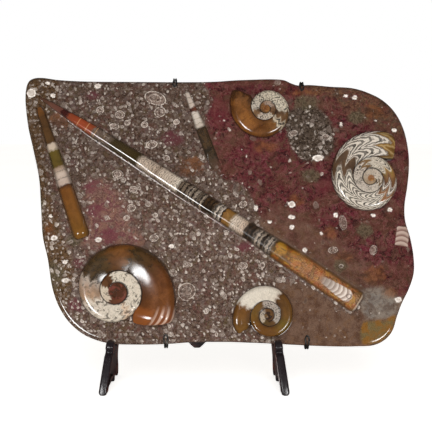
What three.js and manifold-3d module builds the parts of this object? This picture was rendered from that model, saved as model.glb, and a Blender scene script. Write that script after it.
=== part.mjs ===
// A polished fossil plaque: a slab of fossil limestone with straight and coiled shells standing in
// low relief, held by a wire plate hanger and standing on a small wooden easel.
// Millimetres, +Z up. The plaque faces -Y. The origin is the middle of the footprint, on the floor.

import * as THREE from 'three';
import { mergeVertices } from 'three/addons/utils/BufferGeometryUtils.js';
import Module from 'manifold-3d';

const wasm = await Module();
wasm.setup();

// ---------- driving dimensions ----------

const GAP = 0.3; // clearance between pieces that touch

// The slab. U runs to the right, V up the slab, both measured on its face from its bottom middle.
const SLAB_THICKNESS = 22;
const SLAB_EDGE_RADIUS = 5;
const SLAB_EDGE_STEPS = 3;
const SLAB_OUTLINE_STEPS = 96;
const FACE = -SLAB_THICKNESS / 2;
const BACK = SLAB_THICKNESS / 2;
const LEAN = THREE.MathUtils.degToRad(11);
const SLAB_LIFT = 47.6; // height of the slab's lowest edge above the floor
const SLAB_REST_V = 1.9; // where the bottom edge touches the easel

const SLAB_OUTLINE = [
  [-214, 279], [-210, 291.5], [-201, 295], [-177, 292.5], [-149.5, 291], [-100.5, 290.5],
  [-9.5, 290.5], [24.5, 292.5], [71, 292.5], [79, 289], [87, 286.5], [99, 287], [124, 285],
  [146.5, 283.5], [162.5, 279], [180, 270], [193.5, 256.5], [203, 237.5], [208, 213],
  [208.5, 195], [206.5, 175], [203, 152.5], [203.5, 136.5], [208.5, 118.5], [212, 98], [212, 79],
  [206.5, 62], [198.5, 46], [193, 31.5], [188, 16.5], [180, 7], [168, 1], [148.5, -0.4], [119, -0.4],
  [79.5, 1.3], [61.5, 2.3], [33, 3.5], [0.5, 4.5], [-29.5, 4], [-59, 2], [-90.5, 1.5], [-117, 2.5],
  [-134, 6.5], [-149, 13.5], [-164, 26.5], [-175, 43.5], [-182, 63], [-187.5, 95], [-193, 118.5],
  [-195.4, 150.5], [-198, 183], [-205, 216], [-211, 242.5],
];

// Straight shells: tip and mouth on the face, half-widths along the length, height at the mouth.
const LONG_CONE = {
  tip: [-197.7, 272.2],
  mouth: [151.6, 45.6],
  bow: 1.6,
  halfWidths: [[0, 1], [0.035, 3.1], [0.166, 6.6], [0.43, 9.1], [0.69, 10], [0.8, 11.7], [1, 12.4]],
  height: 8,
  steps: 18,
};
const SHORT_CONE = {
  tip: [-198, 261],
  mouth: [-149, 116.7],
  bow: 0,
  halfWidths: [[0, 3], [0.04, 4.8], [0.3, 6.4], [0.62, 9], [1, 9.8]],
  height: 7,
  steps: 10,
};
const THIN_CONE = {
  tip: [-35.7, 277.7],
  mouth: [0.9, 183],
  bow: 0,
  halfWidths: [[0, 2.6], [0.45, 6], [1, 6.6]],
  height: 1.5,
  steps: 6,
};

// Coiled shells: pole of the spiral, outer radius at the mouth, how much a turn grows the radius,
// the angle of the mouth, which way the angle runs inwards, and the angle over which the mouth closes.
const COILED_SHELLS = [
  { pole: [-111.1, 59.3], radius: 69.8, growth: 2.3, mouth: -48, inwards: 1, closes: 14, height: 10 },
  { pole: [52.6, 32.7], radius: 41, growth: 2, mouth: 212, inwards: -1, closes: 30, height: 7 },
  { pole: [51.3, 259.3], radius: 43, growth: 2.385, mouth: 143, inwards: 1, closes: 8, height: 7 },
  { pole: [165.2, 182.2], radius: 56.5, growth: 2.18, mouth: 44, inwards: 1, closes: 20, height: 8 },
];
const COIL_TURNS = 2;
const COIL_STEPS = [28, 16];
const COIL_NESTING = [1, 0.95]; // an inner turn is a little slimmer, so it starts inside the outer one
const COIL_TUCK = 14; // degrees by which an inner turn starts inside the outer one
const SHELL_SIDES = 10;
const SHELL_ROOT = 4; // how deep a shell reaches into the slab

// The easel: two boards that lean together and a rail between them.
const EASEL_CENTRE = -27;
const BOARD_THICKNESS = 8.8;
const BOARD_EDGE_RADIUS = 2.4;
const BOARD_OFFSET = 90; // of each board from the easel's centre, at BOARD_LEVEL
const BOARD_LEVEL = 50;
const BOARD_CAMBER = THREE.MathUtils.degToRad(7.6); // the feet stand wider than the hooks
const BOARD_TOE_IN = THREE.MathUtils.degToRad(3); // the rear feet stand closer than the front feet
const FOOT_ROUNDING = 3.6;
const FOOT_END = -1.2; // where the rounded feet would end if they weren't levelled
const SLOT_CLEARANCE = 0.4;
const UPRIGHT_REACH = 124; // up the slab's back
const UPRIGHT_TOP_WIDTH = 15;
const RAIL_FRONT = 19.5;
const RAIL_THICKNESS = 8.5;
const RAIL_BOTTOM = 47.5;
const RAIL_TOP = 73;
const DROP_CENTRE = 2.3; // of the carved drop, from the easel's centre
const DROP_TOP_HALF = 9.6;
const DROP_BOTTOM_HALF = 3;
const DROP_BOTTOM = 41;

// The wire hanger, in the slab's own U and V.
const WIRE_DIAMETER = 1.7;
const WIRE_SIDES = 6;
const HANGER_CENTRE = 20;
const TOP_HOOKS = [{ u: -49, edge: 290.5 }, { u: 91, edge: 286.6 }];
const BOTTOM_HOOKS = [{ u: -58, edge: 2 }, { u: 95, edge: 0.9 }];
const HOOK_STAND_OFF = 3.2; // of the wire's bend from the slab's edge
const TOP_HOOK_REACH = 6.5;
const BOTTOM_HOOK_REACH = 10.5;
const HOOK_TIP_HALF = 1.9;
const HOOK_BEND_HALF = 1.15;
const HOOK_ROOT_HALF = 0.5;
const HOOK_LENGTH = 26; // of the doubled wire on the back
const HOOK_STEPS = 24;
const LOWER_CORNER = { half: 42, v: 141 };
const UPPER_CORNER = { half: 36, v: 204 };
const SPRING_RADIUS = 3;
const SPRING_STEM_RADIUS = 0.7;
const SPRING_STEM_LENGTH = 5;

// ---------- solids: joining and cutting ----------

function solidOf(geometry) {
  const bare = geometry.index ? geometry.toNonIndexed() : geometry.clone();
  bare.deleteAttribute('normal');
  bare.deleteAttribute('uv');
  const merged = mergeVertices(bare, 1e-4);
  return new wasm.Manifold(new wasm.Mesh({
    numProp: 3,
    vertProperties: new Float32Array(merged.attributes.position.array),
    triVerts: new Uint32Array(merged.index.array),
  }));
}

function geometryOf(solid) {
  const mesh = solid.getMesh();
  const geometry = new THREE.BufferGeometry();
  geometry.setAttribute('position', new THREE.BufferAttribute(new Float32Array(mesh.vertProperties), 3));
  geometry.setIndex(new THREE.BufferAttribute(new Uint32Array(mesh.triVerts), 1));
  geometry.computeVertexNormals();
  return geometry;
}

function joined(geometries) {
  return geometries.map(solidOf).reduce((whole, piece) => whole.add(piece));
}

// ---------- curves shared by several pieces ----------

// The value at t of a curve given as [place, value] pairs, straight between them.
function along(pairs, t) {
  const next = pairs.findIndex(([place]) => place >= t);
  if (next <= 0) return pairs[next === 0 ? 0 : pairs.length - 1][1];
  const [t0, a] = pairs[next - 1];
  const [t1, b] = pairs[next];
  return a + (b - a) * (t - t0) / (t1 - t0);
}

// A rod of unit radius and length whose points are moved by place(t, side, proud),
// with t along the rod from 0 to 1 and side and proud across it from -1 to 1.
function shapedRod(sides, steps, place) {
  const rod = new THREE.CylinderGeometry(1, 1, 1, sides, steps);
  const points = rod.attributes.position;
  for (let i = 0; i < points.count; i += 1) {
    const moved = place(points.getY(i) + 0.5, points.getX(i), points.getZ(i));
    points.setXYZ(i, moved.x, moved.y, moved.z);
  }
  return rod;
}

// How far a shell's section stands out of the face: a full, flat-topped bow in front, a root behind.
function standOut(proud, height) {
  return proud > 0 ? height * proud ** 0.7 : SHELL_ROOT * proud;
}

// ---------- the slab and the shells in it ----------

function slabBody() {
  const corners = SLAB_OUTLINE.map(([u, v]) => new THREE.Vector3(u, v, 0));
  const outline = new THREE.CatmullRomCurve3(corners, true, 'centripetal');
  const points = outline.getSpacedPoints(SLAB_OUTLINE_STEPS).slice(0, -1);
  const shape = new THREE.Shape(points.map((point) => new THREE.Vector2(point.x, point.y)));
  const body = new THREE.ExtrudeGeometry(shape, {
    depth: SLAB_THICKNESS - 2 * SLAB_EDGE_RADIUS,
    bevelThickness: SLAB_EDGE_RADIUS,
    bevelSize: SLAB_EDGE_RADIUS,
    bevelOffset: -SLAB_EDGE_RADIUS,
    bevelSegments: SLAB_EDGE_STEPS,
  });
  body.translate(0, 0, SLAB_EDGE_RADIUS - SLAB_THICKNESS / 2);
  body.rotateX(Math.PI / 2);
  return body;
}

function straightShell({ tip, mouth, bow, halfWidths, height, steps }) {
  const start = new THREE.Vector2(...tip);
  const run = new THREE.Vector2(...mouth).sub(start);
  const axis = run.clone().normalize();
  const widest = halfWidths.at(-1)[1];
  return shapedRod(SHELL_SIDES, steps, (t, side, proud) => {
    const halfWidth = along(halfWidths, t);
    const across = side * halfWidth - 4 * bow * t * (1 - t);
    return new THREE.Vector3(
      start.x + run.x * t + axis.y * across,
      FACE - standOut(proud, height * halfWidth / widest),
      start.y + run.y * t - axis.x * across,
    );
  });
}

function coilTurn(shell, turn) {
  const { pole, radius, growth, mouth, inwards, closes, height } = shell;
  const outerRadius = (angle) => radius * growth ** (-angle / 360);
  const first = turn === 0 ? 0 : turn * 360 - COIL_TUCK;
  const last = turn * 360 + 360;
  return shapedRod(SHELL_SIDES, COIL_STEPS[turn], (t, side, proud) => {
    const angle = last + (first - last) * t;
    const outer = outerRadius(angle);
    const inner = outer / growth;
    const closing = Math.min(1, (angle + 1) / closes);
    const fullness = turn === 0 ? Math.sqrt(closing * (2 - closing)) : 1;
    const halfWidth = (outer - inner) / 2 * (0.25 + 0.75 * fullness) * COIL_NESTING[turn];
    const middle = (outer + inner) / 2 - side * inwards * halfWidth * 1.04;
    const heading = THREE.MathUtils.degToRad(mouth + inwards * angle);
    const rise = height * (outer / radius) ** 0.35 * (0.55 + 0.45 * fullness) * COIL_NESTING[turn];
    return new THREE.Vector3(
      pole[0] + middle * Math.cos(heading),
      FACE - standOut(proud, rise),
      pole[1] + middle * Math.sin(heading),
    );
  });
}

function coilCore({ pole, radius, growth, height }) {
  const coreRadius = radius * growth ** -COIL_TURNS;
  const core = new THREE.SphereGeometry(coreRadius, 12, 8);
  core.scale(1, height * 0.75 / coreRadius, 1);
  core.translate(pole[0], FACE, pole[1]);
  return core;
}

function slab() {
  const shells = [LONG_CONE, SHORT_CONE, THIN_CONE].map(straightShell);
  for (const shell of COILED_SHELLS) {
    for (let turn = 0; turn < COIL_TURNS; turn += 1) shells.push(coilTurn(shell, turn));
    shells.push(coilCore(shell));
  }
  return geometryOf(joined([slabBody(), ...shells]));
}

// ---------- the easel ----------

// A point of the slab's frame, as distance forwards of its bottom middle and height above the floor.
function onSlab(depth, v) {
  return [
    -(depth * Math.cos(LEAN) + v * Math.sin(LEAN)),
    SLAB_LIFT - depth * Math.sin(LEAN) + v * Math.cos(LEAN),
  ];
}

// Side view of a board, forwards to +X: front foot, neck, hook, slot, upright, rear foot and arch.
function boardProfile() {
  const profile = new THREE.Shape();
  profile.moveTo(17, -4);
  profile.lineTo(31, -4);
  profile.bezierCurveTo(32, 10, 25, 28, 21.5, 38);
  profile.quadraticCurveTo(20, 42.5, 16.5, 42);
  profile.quadraticCurveTo(13.6, 43, 15.4, 44.8);
  profile.quadraticCurveTo(21.5, 46, 20.6, 51);
  profile.quadraticCurveTo(18.5, 56.6, 13.5, 56);
  profile.lineTo(...onSlab(FACE + 1, 7));
  profile.lineTo(...onSlab(BACK - 1, 7));
  profile.lineTo(...onSlab(BACK - 1, UPRIGHT_REACH - 8));
  profile.quadraticCurveTo(...onSlab(BACK - 1, UPRIGHT_REACH), ...onSlab(BACK + 7, UPRIGHT_REACH));
  const topRear = onSlab(BACK + UPRIGHT_TOP_WIDTH, UPRIGHT_REACH - 8);
  profile.quadraticCurveTo(...onSlab(BACK + UPRIGHT_TOP_WIDTH, UPRIGHT_REACH), ...topRear);
  profile.bezierCurveTo(-42, 110, -30, 66, -31, 44);
  profile.bezierCurveTo(-34, 26, -58, 18, -63, 5);
  profile.lineTo(-63, -4);
  profile.lineTo(-33, -4);
  profile.quadraticCurveTo(-31, 8, -22, 9);
  profile.lineTo(5, 12);
  profile.quadraticCurveTo(15, 12, 17, -4);
  return profile;
}

// Front view of a board before it is tilted: straight sides and a rounded bottom end.
function boardFront() {
  const half = BOARD_THICKNESS / 2 + 1;
  const turn = half - FOOT_ROUNDING - 1;
  const front = new THREE.Shape();
  front.moveTo(-half, 200);
  front.lineTo(-half + 1, FOOT_END + FOOT_ROUNDING);
  front.absarc(-turn, FOOT_END + FOOT_ROUNDING, FOOT_ROUNDING, Math.PI, 1.5 * Math.PI);
  front.absarc(turn, FOOT_END + FOOT_ROUNDING, FOOT_ROUNDING, 1.5 * Math.PI, 2 * Math.PI);
  front.lineTo(half, 200);
  return front;
}

// The room that the slab stands in, cut level across both boards.
function slabSlot() {
  const depth = SLAB_THICKNESS + 2 * SLOT_CLEARANCE;
  const height = 200;
  const slot = new THREE.BoxGeometry(400, depth, height);
  slot.translate(0, 0, SLAB_REST_V - SLOT_CLEARANCE + height / 2);
  slot.rotateX(-LEAN);
  slot.translate(0, 0, SLAB_LIFT);
  return slot;
}

function belowFloor() {
  const block = new THREE.BoxGeometry(600, 600, 40);
  block.translate(0, 0, -20);
  return block;
}

function board(side) {
  const blank = new THREE.ExtrudeGeometry(boardProfile(), {
    depth: BOARD_THICKNESS - 2 * BOARD_EDGE_RADIUS,
    bevelThickness: BOARD_EDGE_RADIUS,
    bevelSize: BOARD_EDGE_RADIUS,
    bevelOffset: -BOARD_EDGE_RADIUS,
    bevelSegments: 2,
    curveSegments: 5,
  });
  blank.translate(0, 0, BOARD_EDGE_RADIUS - BOARD_THICKNESS / 2);
  blank.rotateX(Math.PI / 2);
  blank.rotateZ(-Math.PI / 2);
  const front = new THREE.ExtrudeGeometry(boardFront(), { depth: 200, bevelEnabled: false, curveSegments: 3 });
  front.rotateX(Math.PI / 2);
  front.translate(0, 100, 0);
  for (const geometry of [blank, front]) {
    geometry.rotateZ(side * BOARD_TOE_IN);
    geometry.translate(0, 0, -BOARD_LEVEL);
    geometry.rotateY(-side * BOARD_CAMBER);
    geometry.translate(EASEL_CENTRE + side * BOARD_OFFSET, 0, BOARD_LEVEL);
  }
  const rounded = solidOf(blank).intersect(solidOf(front));
  return geometryOf(rounded.subtract(solidOf(slabSlot())).subtract(solidOf(belowFloor())));
}

// Half the clear width between the boards at a height.
function halfSpan(height) {
  const toeIn = (RAIL_FRONT + RAIL_THICKNESS) * Math.tan(BOARD_TOE_IN);
  const middle = BOARD_OFFSET - toeIn - (height - BOARD_LEVEL) * Math.tan(BOARD_CAMBER);
  return middle - BOARD_THICKNESS / 2 / Math.cos(BOARD_CAMBER) - GAP;
}

function rail() {
  const shape = new THREE.Shape();
  const middle = (DROP_BOTTOM + RAIL_BOTTOM) / 2;
  const curve = DROP_TOP_HALF * 0.72;
  shape.moveTo(-halfSpan(RAIL_BOTTOM), RAIL_BOTTOM);
  shape.lineTo(DROP_CENTRE - DROP_TOP_HALF, RAIL_BOTTOM);
  shape.quadraticCurveTo(DROP_CENTRE - curve, middle, DROP_CENTRE - DROP_BOTTOM_HALF, DROP_BOTTOM);
  shape.lineTo(DROP_CENTRE + DROP_BOTTOM_HALF, DROP_BOTTOM);
  shape.quadraticCurveTo(DROP_CENTRE + curve, middle, DROP_CENTRE + DROP_TOP_HALF, RAIL_BOTTOM);
  shape.lineTo(halfSpan(RAIL_BOTTOM), RAIL_BOTTOM);
  shape.lineTo(halfSpan(RAIL_TOP), RAIL_TOP);
  shape.lineTo(-halfSpan(RAIL_TOP), RAIL_TOP);
  const bar = new THREE.ExtrudeGeometry(shape, {
    depth: RAIL_THICKNESS,
    bevelEnabled: false,
    curveSegments: 4,
  });
  bar.rotateX(Math.PI / 2);
  bar.translate(EASEL_CENTRE, RAIL_FRONT + RAIL_THICKNESS, 0);
  return bar;
}

// ---------- the wire hanger ----------

function wireAlong(curve, steps) {
  const section = new THREE.Shape();
  section.absarc(0, 0, WIRE_DIAMETER / 2, 0, 2 * Math.PI);
  return new THREE.ExtrudeGeometry(section, {
    steps,
    curveSegments: WIRE_SIDES / 2,
    bevelEnabled: false,
    extrudePath: curve,
  });
}

function straightWire(from, to) {
  return wireAlong(new THREE.LineCurve3(from, to), 1);
}

function wireKnee(at) {
  const knee = new THREE.IcosahedronGeometry(WIRE_DIAMETER / 2 * 1.12, 0);
  knee.translate(at.x, at.y, at.z);
  return knee;
}

const WIRE_BACK = BACK + GAP + WIRE_DIAMETER / 2;
const WIRE_FACE = FACE - GAP - WIRE_DIAMETER / 2;

// One hook: up the back, over the edge, down the face to a narrow loop, and back beside itself.
// outwards is +1 at the top edge and -1 at the bottom edge.
function hookCurve({ u, edge }, outwards, reach) {
  const strand = (side) => [
    [HOOK_ROOT_HALF, WIRE_BACK, edge - outwards * HOOK_LENGTH],
    [HOOK_BEND_HALF, WIRE_BACK, edge - outwards * 6],
    [HOOK_BEND_HALF, WIRE_BACK - 1.2, edge + outwards * 0.8],
    [HOOK_BEND_HALF, WIRE_BACK - 6, edge + outwards * HOOK_STAND_OFF],
    [HOOK_BEND_HALF, WIRE_FACE + 6, edge + outwards * HOOK_STAND_OFF],
    [HOOK_BEND_HALF, WIRE_FACE + 1, edge + outwards * 0.4],
    [HOOK_TIP_HALF, WIRE_FACE, edge - outwards * (reach - 3)],
  ].map(([half, depth, v]) => new THREE.Vector3(u + side * half, depth, v));
  const tip = new THREE.Vector3(u, WIRE_FACE, edge - outwards * reach);
  return new THREE.CatmullRomCurve3([...strand(-1), tip, ...strand(1).reverse()], false, 'centripetal');
}

// Half a hanger: two hooks, the wires that run from them to two corners, and the bar between.
function hangerHalf(hooks, outwards, reach, corner) {
  const pieces = [];
  const corners = [-1, 1].map((side) =>
    new THREE.Vector3(HANGER_CENTRE + side * corner.half, WIRE_BACK, corner.v));
  hooks.forEach((hook, index) => {
    const root = new THREE.Vector3(hook.u, WIRE_BACK, hook.edge - outwards * HOOK_LENGTH);
    pieces.push(wireAlong(hookCurve(hook, outwards, reach), HOOK_STEPS), wireKnee(root));
    pieces.push(straightWire(root, corners[index]), wireKnee(corners[index]));
  });
  pieces.push(straightWire(corners[0], corners[1]));
  return geometryOf(joined(pieces));
}

// A closed-wound spring from a lower corner to the upper corner above it, its ends drawn to stems.
function spring(side) {
  const lower = new THREE.Vector3(HANGER_CENTRE + side * LOWER_CORNER.half, WIRE_BACK, LOWER_CORNER.v);
  const upper = new THREE.Vector3(HANGER_CENTRE + side * UPPER_CORNER.half, WIRE_BACK, UPPER_CORNER.v);
  const clear = WIRE_DIAMETER / 2 * 1.12 + GAP;
  const length = upper.distanceTo(lower) - 2 * clear;
  const body = length / 2 - SPRING_STEM_LENGTH;
  const profile = [
    [0, -length / 2], [SPRING_STEM_RADIUS, -length / 2], [SPRING_STEM_RADIUS, -body - 1],
    [SPRING_RADIUS, -body], [SPRING_RADIUS, body], [SPRING_STEM_RADIUS, body + 1],
    [SPRING_STEM_RADIUS, length / 2], [0, length / 2],
  ].map(([r, y]) => new THREE.Vector2(r, y));
  const coil = new THREE.LatheGeometry(profile, 10);
  const direction = upper.clone().sub(lower).normalize();
  coil.applyQuaternion(new THREE.Quaternion().setFromUnitVectors(new THREE.Vector3(0, 1, 0), direction));
  const middle = upper.clone().add(lower).multiplyScalar(0.5);
  coil.translate(middle.x, BACK + GAP + SPRING_RADIUS, middle.z);
  return coil;
}

// ---------- finishes and assembly ----------

function stone() {
  return new THREE.MeshStandardMaterial({ color: 0x5a4038, roughness: 0.2, metalness: 0 });
}

function lacqueredWood() {
  return new THREE.MeshStandardMaterial({ color: 0x2a1712, roughness: 0.3, metalness: 0 });
}

function darkWire() {
  return new THREE.MeshStandardMaterial({ color: 0x1c1a19, roughness: 0.4, metalness: 0.6 });
}

function springSteel() {
  return new THREE.MeshStandardMaterial({ color: 0x777470, roughness: 0.35, metalness: 1 });
}

function named(name, geometry, material) {
  const mesh = new THREE.Mesh(geometry, material);
  mesh.name = name;
  return mesh;
}

const plaque = new THREE.Group();
plaque.add(named('slab', slab(), stone()));
plaque.add(named('hanger_upper_wire', hangerHalf(TOP_HOOKS, 1, TOP_HOOK_REACH, UPPER_CORNER), darkWire()));
plaque.add(named('hanger_lower_wire', hangerHalf(BOTTOM_HOOKS, -1, BOTTOM_HOOK_REACH, LOWER_CORNER), darkWire()));
plaque.add(named('hanger_spring_left', spring(-1), springSteel()));
plaque.add(named('hanger_spring_right', spring(1), springSteel()));
plaque.rotation.x = -LEAN;
plaque.position.z = SLAB_LIFT;

const easel = new THREE.Group();
easel.add(named('easel_board_left', board(-1), lacqueredWood()));
easel.add(named('easel_board_right', board(1), lacqueredWood()));
easel.add(named('easel_rail', rail(), lacqueredWood()));

const model = new THREE.Group();
model.add(plaque, easel);
model.updateMatrixWorld(true);
const footprint = new THREE.Box3().setFromObject(model, true).getCenter(new THREE.Vector3());
model.position.set(-footprint.x, -footprint.y, 0);

export default model;
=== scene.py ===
import math

import bpy
import numpy as np
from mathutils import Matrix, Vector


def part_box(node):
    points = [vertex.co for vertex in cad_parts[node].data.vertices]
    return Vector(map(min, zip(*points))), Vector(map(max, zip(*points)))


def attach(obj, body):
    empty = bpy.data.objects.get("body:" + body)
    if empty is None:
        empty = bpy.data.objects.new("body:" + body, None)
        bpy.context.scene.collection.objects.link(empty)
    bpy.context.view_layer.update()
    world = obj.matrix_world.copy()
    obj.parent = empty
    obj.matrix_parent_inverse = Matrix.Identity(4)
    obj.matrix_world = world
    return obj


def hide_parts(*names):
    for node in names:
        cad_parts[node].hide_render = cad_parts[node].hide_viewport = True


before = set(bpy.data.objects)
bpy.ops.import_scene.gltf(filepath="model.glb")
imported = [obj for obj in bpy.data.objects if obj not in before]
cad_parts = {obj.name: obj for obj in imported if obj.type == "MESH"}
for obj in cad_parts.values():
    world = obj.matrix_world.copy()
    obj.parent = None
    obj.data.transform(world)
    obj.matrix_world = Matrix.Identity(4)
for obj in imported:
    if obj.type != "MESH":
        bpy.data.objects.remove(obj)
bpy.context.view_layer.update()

scene = bpy.context.scene

# ========================================
# The slab: one sawn piece of dark limestone crowded with small shells, 22 mm thick. Its
# face and rim are ground and polished, its back is dull from the saw, and it leans back.
# ========================================

MM = 0.001
LEAN = math.radians(11)
SLAB_LIFT = 47.6  # of the slab's foot above the floor
SLAB_SHIFT = (0.78, -18.31)  # of the slab's foot from the middle of the footprint
SLAB_HALF = 11.0
FACE = -SLAB_HALF
RIM_RADIUS = 5.0
SLAB_MIDDLE = np.array([-1.0, 150.0])
SLAB_AROUND = 620

SLAB_OUTLINE = [
    (-214, 279), (-210, 291.5), (-201, 295), (-177, 292.5), (-149.5, 291), (-100.5, 290.5),
    (-9.5, 290.5), (24.5, 292.5), (71, 292.5), (79, 289), (87, 286.5), (99, 287), (124, 285),
    (146.5, 283.5), (162.5, 279), (180, 270), (193.5, 256.5), (203, 237.5), (208, 213),
    (208.5, 195), (206.5, 175), (203, 152.5), (203.5, 136.5), (208.5, 118.5), (212, 98), (212, 79),
    (206.5, 62), (198.5, 46), (193, 31.5), (188, 16.5), (180, 7), (168, 1), (148.5, -0.4),
    (119, -0.4), (79.5, 1.3), (61.5, 2.3), (33, 3.5), (0.5, 4.5), (-29.5, 4), (-59, 2),
    (-90.5, 1.5), (-117, 2.5), (-134, 6.5), (-149, 13.5), (-164, 26.5), (-175, 43.5), (-182, 63),
    (-187.5, 95), (-193, 118.5), (-195.4, 150.5), (-198, 183), (-205, 216), (-211, 242.5),
]

# Where the stone changes colour: outlines on the face, in millimetres right and up.
STONE_KINDS = {
    "wine": [
        (-18, 294), (-8, 269), (-15, 253), (-7, 214), (3, 183), (20, 179), (34, 164), (42, 144),
        (60, 124), (92, 102), (126, 80), (150, 66), (172, 56), (196, 50), (225, 63), (228, 99),
        (225, 142), (223, 170), (226, 214), (215, 249), (192, 276), (161, 295), (122, 300), (45, 304)],
    "corner": [
        (89, 285), (122, 296), (161, 291), (196, 270), (214, 236), (198, 227), (182, 238), (160, 242),
        (138, 256), (127, 269), (105, 275)],
    "island": [
        (78, 258), (94, 262), (109, 260), (122, 245), (126, 227), (124, 212), (113, 205), (94, 201),
        (81, 214), (75, 230), (72, 247)],
    "taupe": [
        (46, 54), (68, 66), (92, 67), (116, 52), (138, 36), (148, 36), (152, 44), (128, 62), (100, 80),
        (75, 97), (54, 116), (44, 138), (58, 152), (79, 146), (101, 133), (119, 117), (143, 104),
        (163, 86), (178, 68), (194, 60), (210, 52), (206, 23), (185, -10), (130, -16), (76, -16),
        (68, 12), (64, 37)],
    "pink": [
        (-147, 175), (-131, 183), (-111, 170), (-100, 153), (-92, 131), (-80, 110), (-92, 104),
        (-119, 112), (-141, 104), (-152, 110), (-145, 131), (-143, 153)],
    "olive": [
        (-221, 287), (-176, 297), (-186, 258), (-192, 214), (-187, 170), (-172, 126), (-162, 91),
        (-160, 61), (-173, 29), (-196, 61), (-203, 115), (-208, 170), (-213, 225)],
    "grey": [(155, 61), (180, 61), (194, 50), (191, 34), (174, 30), (161, 29), (152, 44)],
    "gold": [(157, 26), (179, 27), (191, 33), (184, 13), (167, 2), (152, 7)],
}

# Coloured patches and cream bits of shell: middle right and up, half-width and half-height.
PATCHES = {
    "cream": [
        (-207, 277, 5.5, 5.5), (-134, 285, 4.4, 3.3), (79, 154, 4.4, 3.9), (79, 140, 4.4, 2.8),
        (79, 129, 3.1, 3.1), (55, 135, 3.3, 2.2), (40, 150, 2.5, 4.4), (93, 104, 2.8, 3.3),
        (127, 142, 2.8, 3.3), (111, 122, 2.2, 2.8), (192, 236, 3.3, 2.8), (186, 148, 3.3, 2.8),
        (194, 50, 4.4, 3.3), (139, 274, 3.3, 2.2), (149, 272, 3.3, 2.8), (134, 242, 2.2, 3.3),
        (-183, 274, 3.3, 2.8), (-189, 288, 3.3, 2.2), (-132, 115, 4.4, 3.3), (-180, 117, 4.4, 3.3),
        (-167, 71, 4.4, 3.3), (-184, 141, 2.8, 2.2), (-168, 91, 3.3, 2.8), (-52, 108, 3.3, 2.8),
        (108, 205, 6.6, 3.9), (168, 142, 3.3, 2.2)],
    "red": [
        (-139, 275, 6.6, 4.4), (-51, 227, 11, 8.8), (-157, 44, 7.2, 6.1), (116, 137, 5.5, 5),
        (27, 107, 9.9, 5), (-152, 91, 5.5, 4.4), (-141, 173, 9.9, 5.5), (-136, 148, 7.7, 6.6),
        (-119, 120, 9.9, 8.8), (39, 214, 9.9, 8.8), (-1, 256, 9.9, 17.6), (121, 175, 15, 7.7)],
    "orange": [
        (-32, 196, 13.2, 11), (-185, 126, 5.5, 9.9), (-174, 248, 11, 9.9), (171, 256, 12, 7.7),
        (50, 218, 11, 5.5), (84, 159, 7.7, 5.5), (121, 124, 7.7, 6.6), (137, 96, 10, 5.5),
        (170, 76, 13, 9.9), (187, 58, 7.7, 4.4), (89, 278, 15, 2.8)],
    "olive": [
        (159, 124, 8.8, 7.7), (99, 185, 11, 6.6), (96, 266, 13, 8.8), (132, 87, 6.6, 6.6),
        (-196, 153, 4.4, 11), (-157, 115, 8.8, 6.6), (-179, 77, 8.8, 15), (152, 249, 8.8, 7.7)],
}

# The larger cut shells: middle right and up, half-width and half-height, and turn in degrees.
CUT_SHELLS = [
    (-70, 271, 13, 8, -20), (-109, 253, 5.5, 4.6, -10), (-101, 244, 3.3, 3, 0),
    (-82, 242, 3.9, 3.6, 0), (-65, 256, 6.6, 6, 20), (-131, 258, 4.4, 4, 0), (-74, 220, 6.6, 4.4, 10),
    (-111, 187, 6.6, 5, -15), (-94, 170, 4.4, 4, 0), (-96, 150, 5, 4.2, 10), (-71, 117, 5, 4, 5),
    (-50, 79, 4.4, 3.7, -10), (-35, 59, 10.5, 10, 30), (135, 134, 4.4, 9, 10),
    (124, 104, 5.5, 3.7, 5), (168, 104, 4.4, 5.5, -10), (132.5, 86.5, 2.6, 2.2, 15),
    (-115, 240, 5.5, 3.1, -12), (-101, 139, 3.3, 3, 0), (-70, 142, 2.8, 2.6, 0),
    (81, 232, 5.5, 3.7, 20), (117, 228, 4.4, 3.3, 0), (26, 154, 4.6, 3.7, 30), (26, 87, 5, 4.2, 0),
    (46, 87, 3.9, 3.3, 40), (-47, 245, 3.6, 3, 15), (-58, 205, 4, 3, -20), (20, 20, 5, 4, 20),
]
EDGE_SHELL = (199.5, 119, 7.5, 11, -8)  # a ribbed pale shell cut by the right rim


def on_slab(u, depth, v):
    """Millimetres along, through and up the slab to metres in the room: the slab's foot is
    lifted, and depth and height are turned backwards by the lean."""
    x = u + SLAB_SHIFT[0]
    y = depth * math.cos(LEAN) + v * math.sin(LEAN) + SLAB_SHIFT[1]
    z = SLAB_LIFT - depth * math.sin(LEAN) + v * math.cos(LEAN)
    return np.stack(np.broadcast_arrays(x, y, z), -1) * MM


def spans(p0, p1, p2, p3, per_span):
    """A centripetal Catmull-Rom curve: each span from p1 to p2 blends the lines through four
    corners, with knots spaced as the square root of the corners' distances."""
    g1, g2, g3 = (np.sqrt(np.linalg.norm(b - a, axis=-1, keepdims=True))
                  for a, b in ((p0, p1), (p1, p2), (p2, p3)))
    k1, k2, k3 = g1, g1 + g2, g1 + g2 + g3
    t = k1 + g2 * np.linspace(0, 1, per_span, endpoint=False)[None, :, None]
    a1 = ((k1 - t) * p0 + t * p1) / k1
    a2 = ((k2 - t) * p1 + (t - k1) * p2) / (k2 - k1)
    a3 = ((k3 - t) * p2 + (t - k2) * p3) / (k3 - k2)
    b1 = ((k2 - t) * a1 + t * a2) / k2
    b2 = ((k3 - t) * a2 + (t - k1) * a3) / (k3 - k1)
    return (((k2 - t) * b1 + (t - k1) * b2) / (k2 - k1)).reshape(-1, p0.shape[-1])


def smooth_closed(corners, per_span):
    """A smooth closed curve through its corners."""
    corners = np.asarray(corners, float)
    return spans(*(np.roll(corners, shift, axis=0)[:, None] for shift in (1, 0, -1, -2)), per_span)


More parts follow.
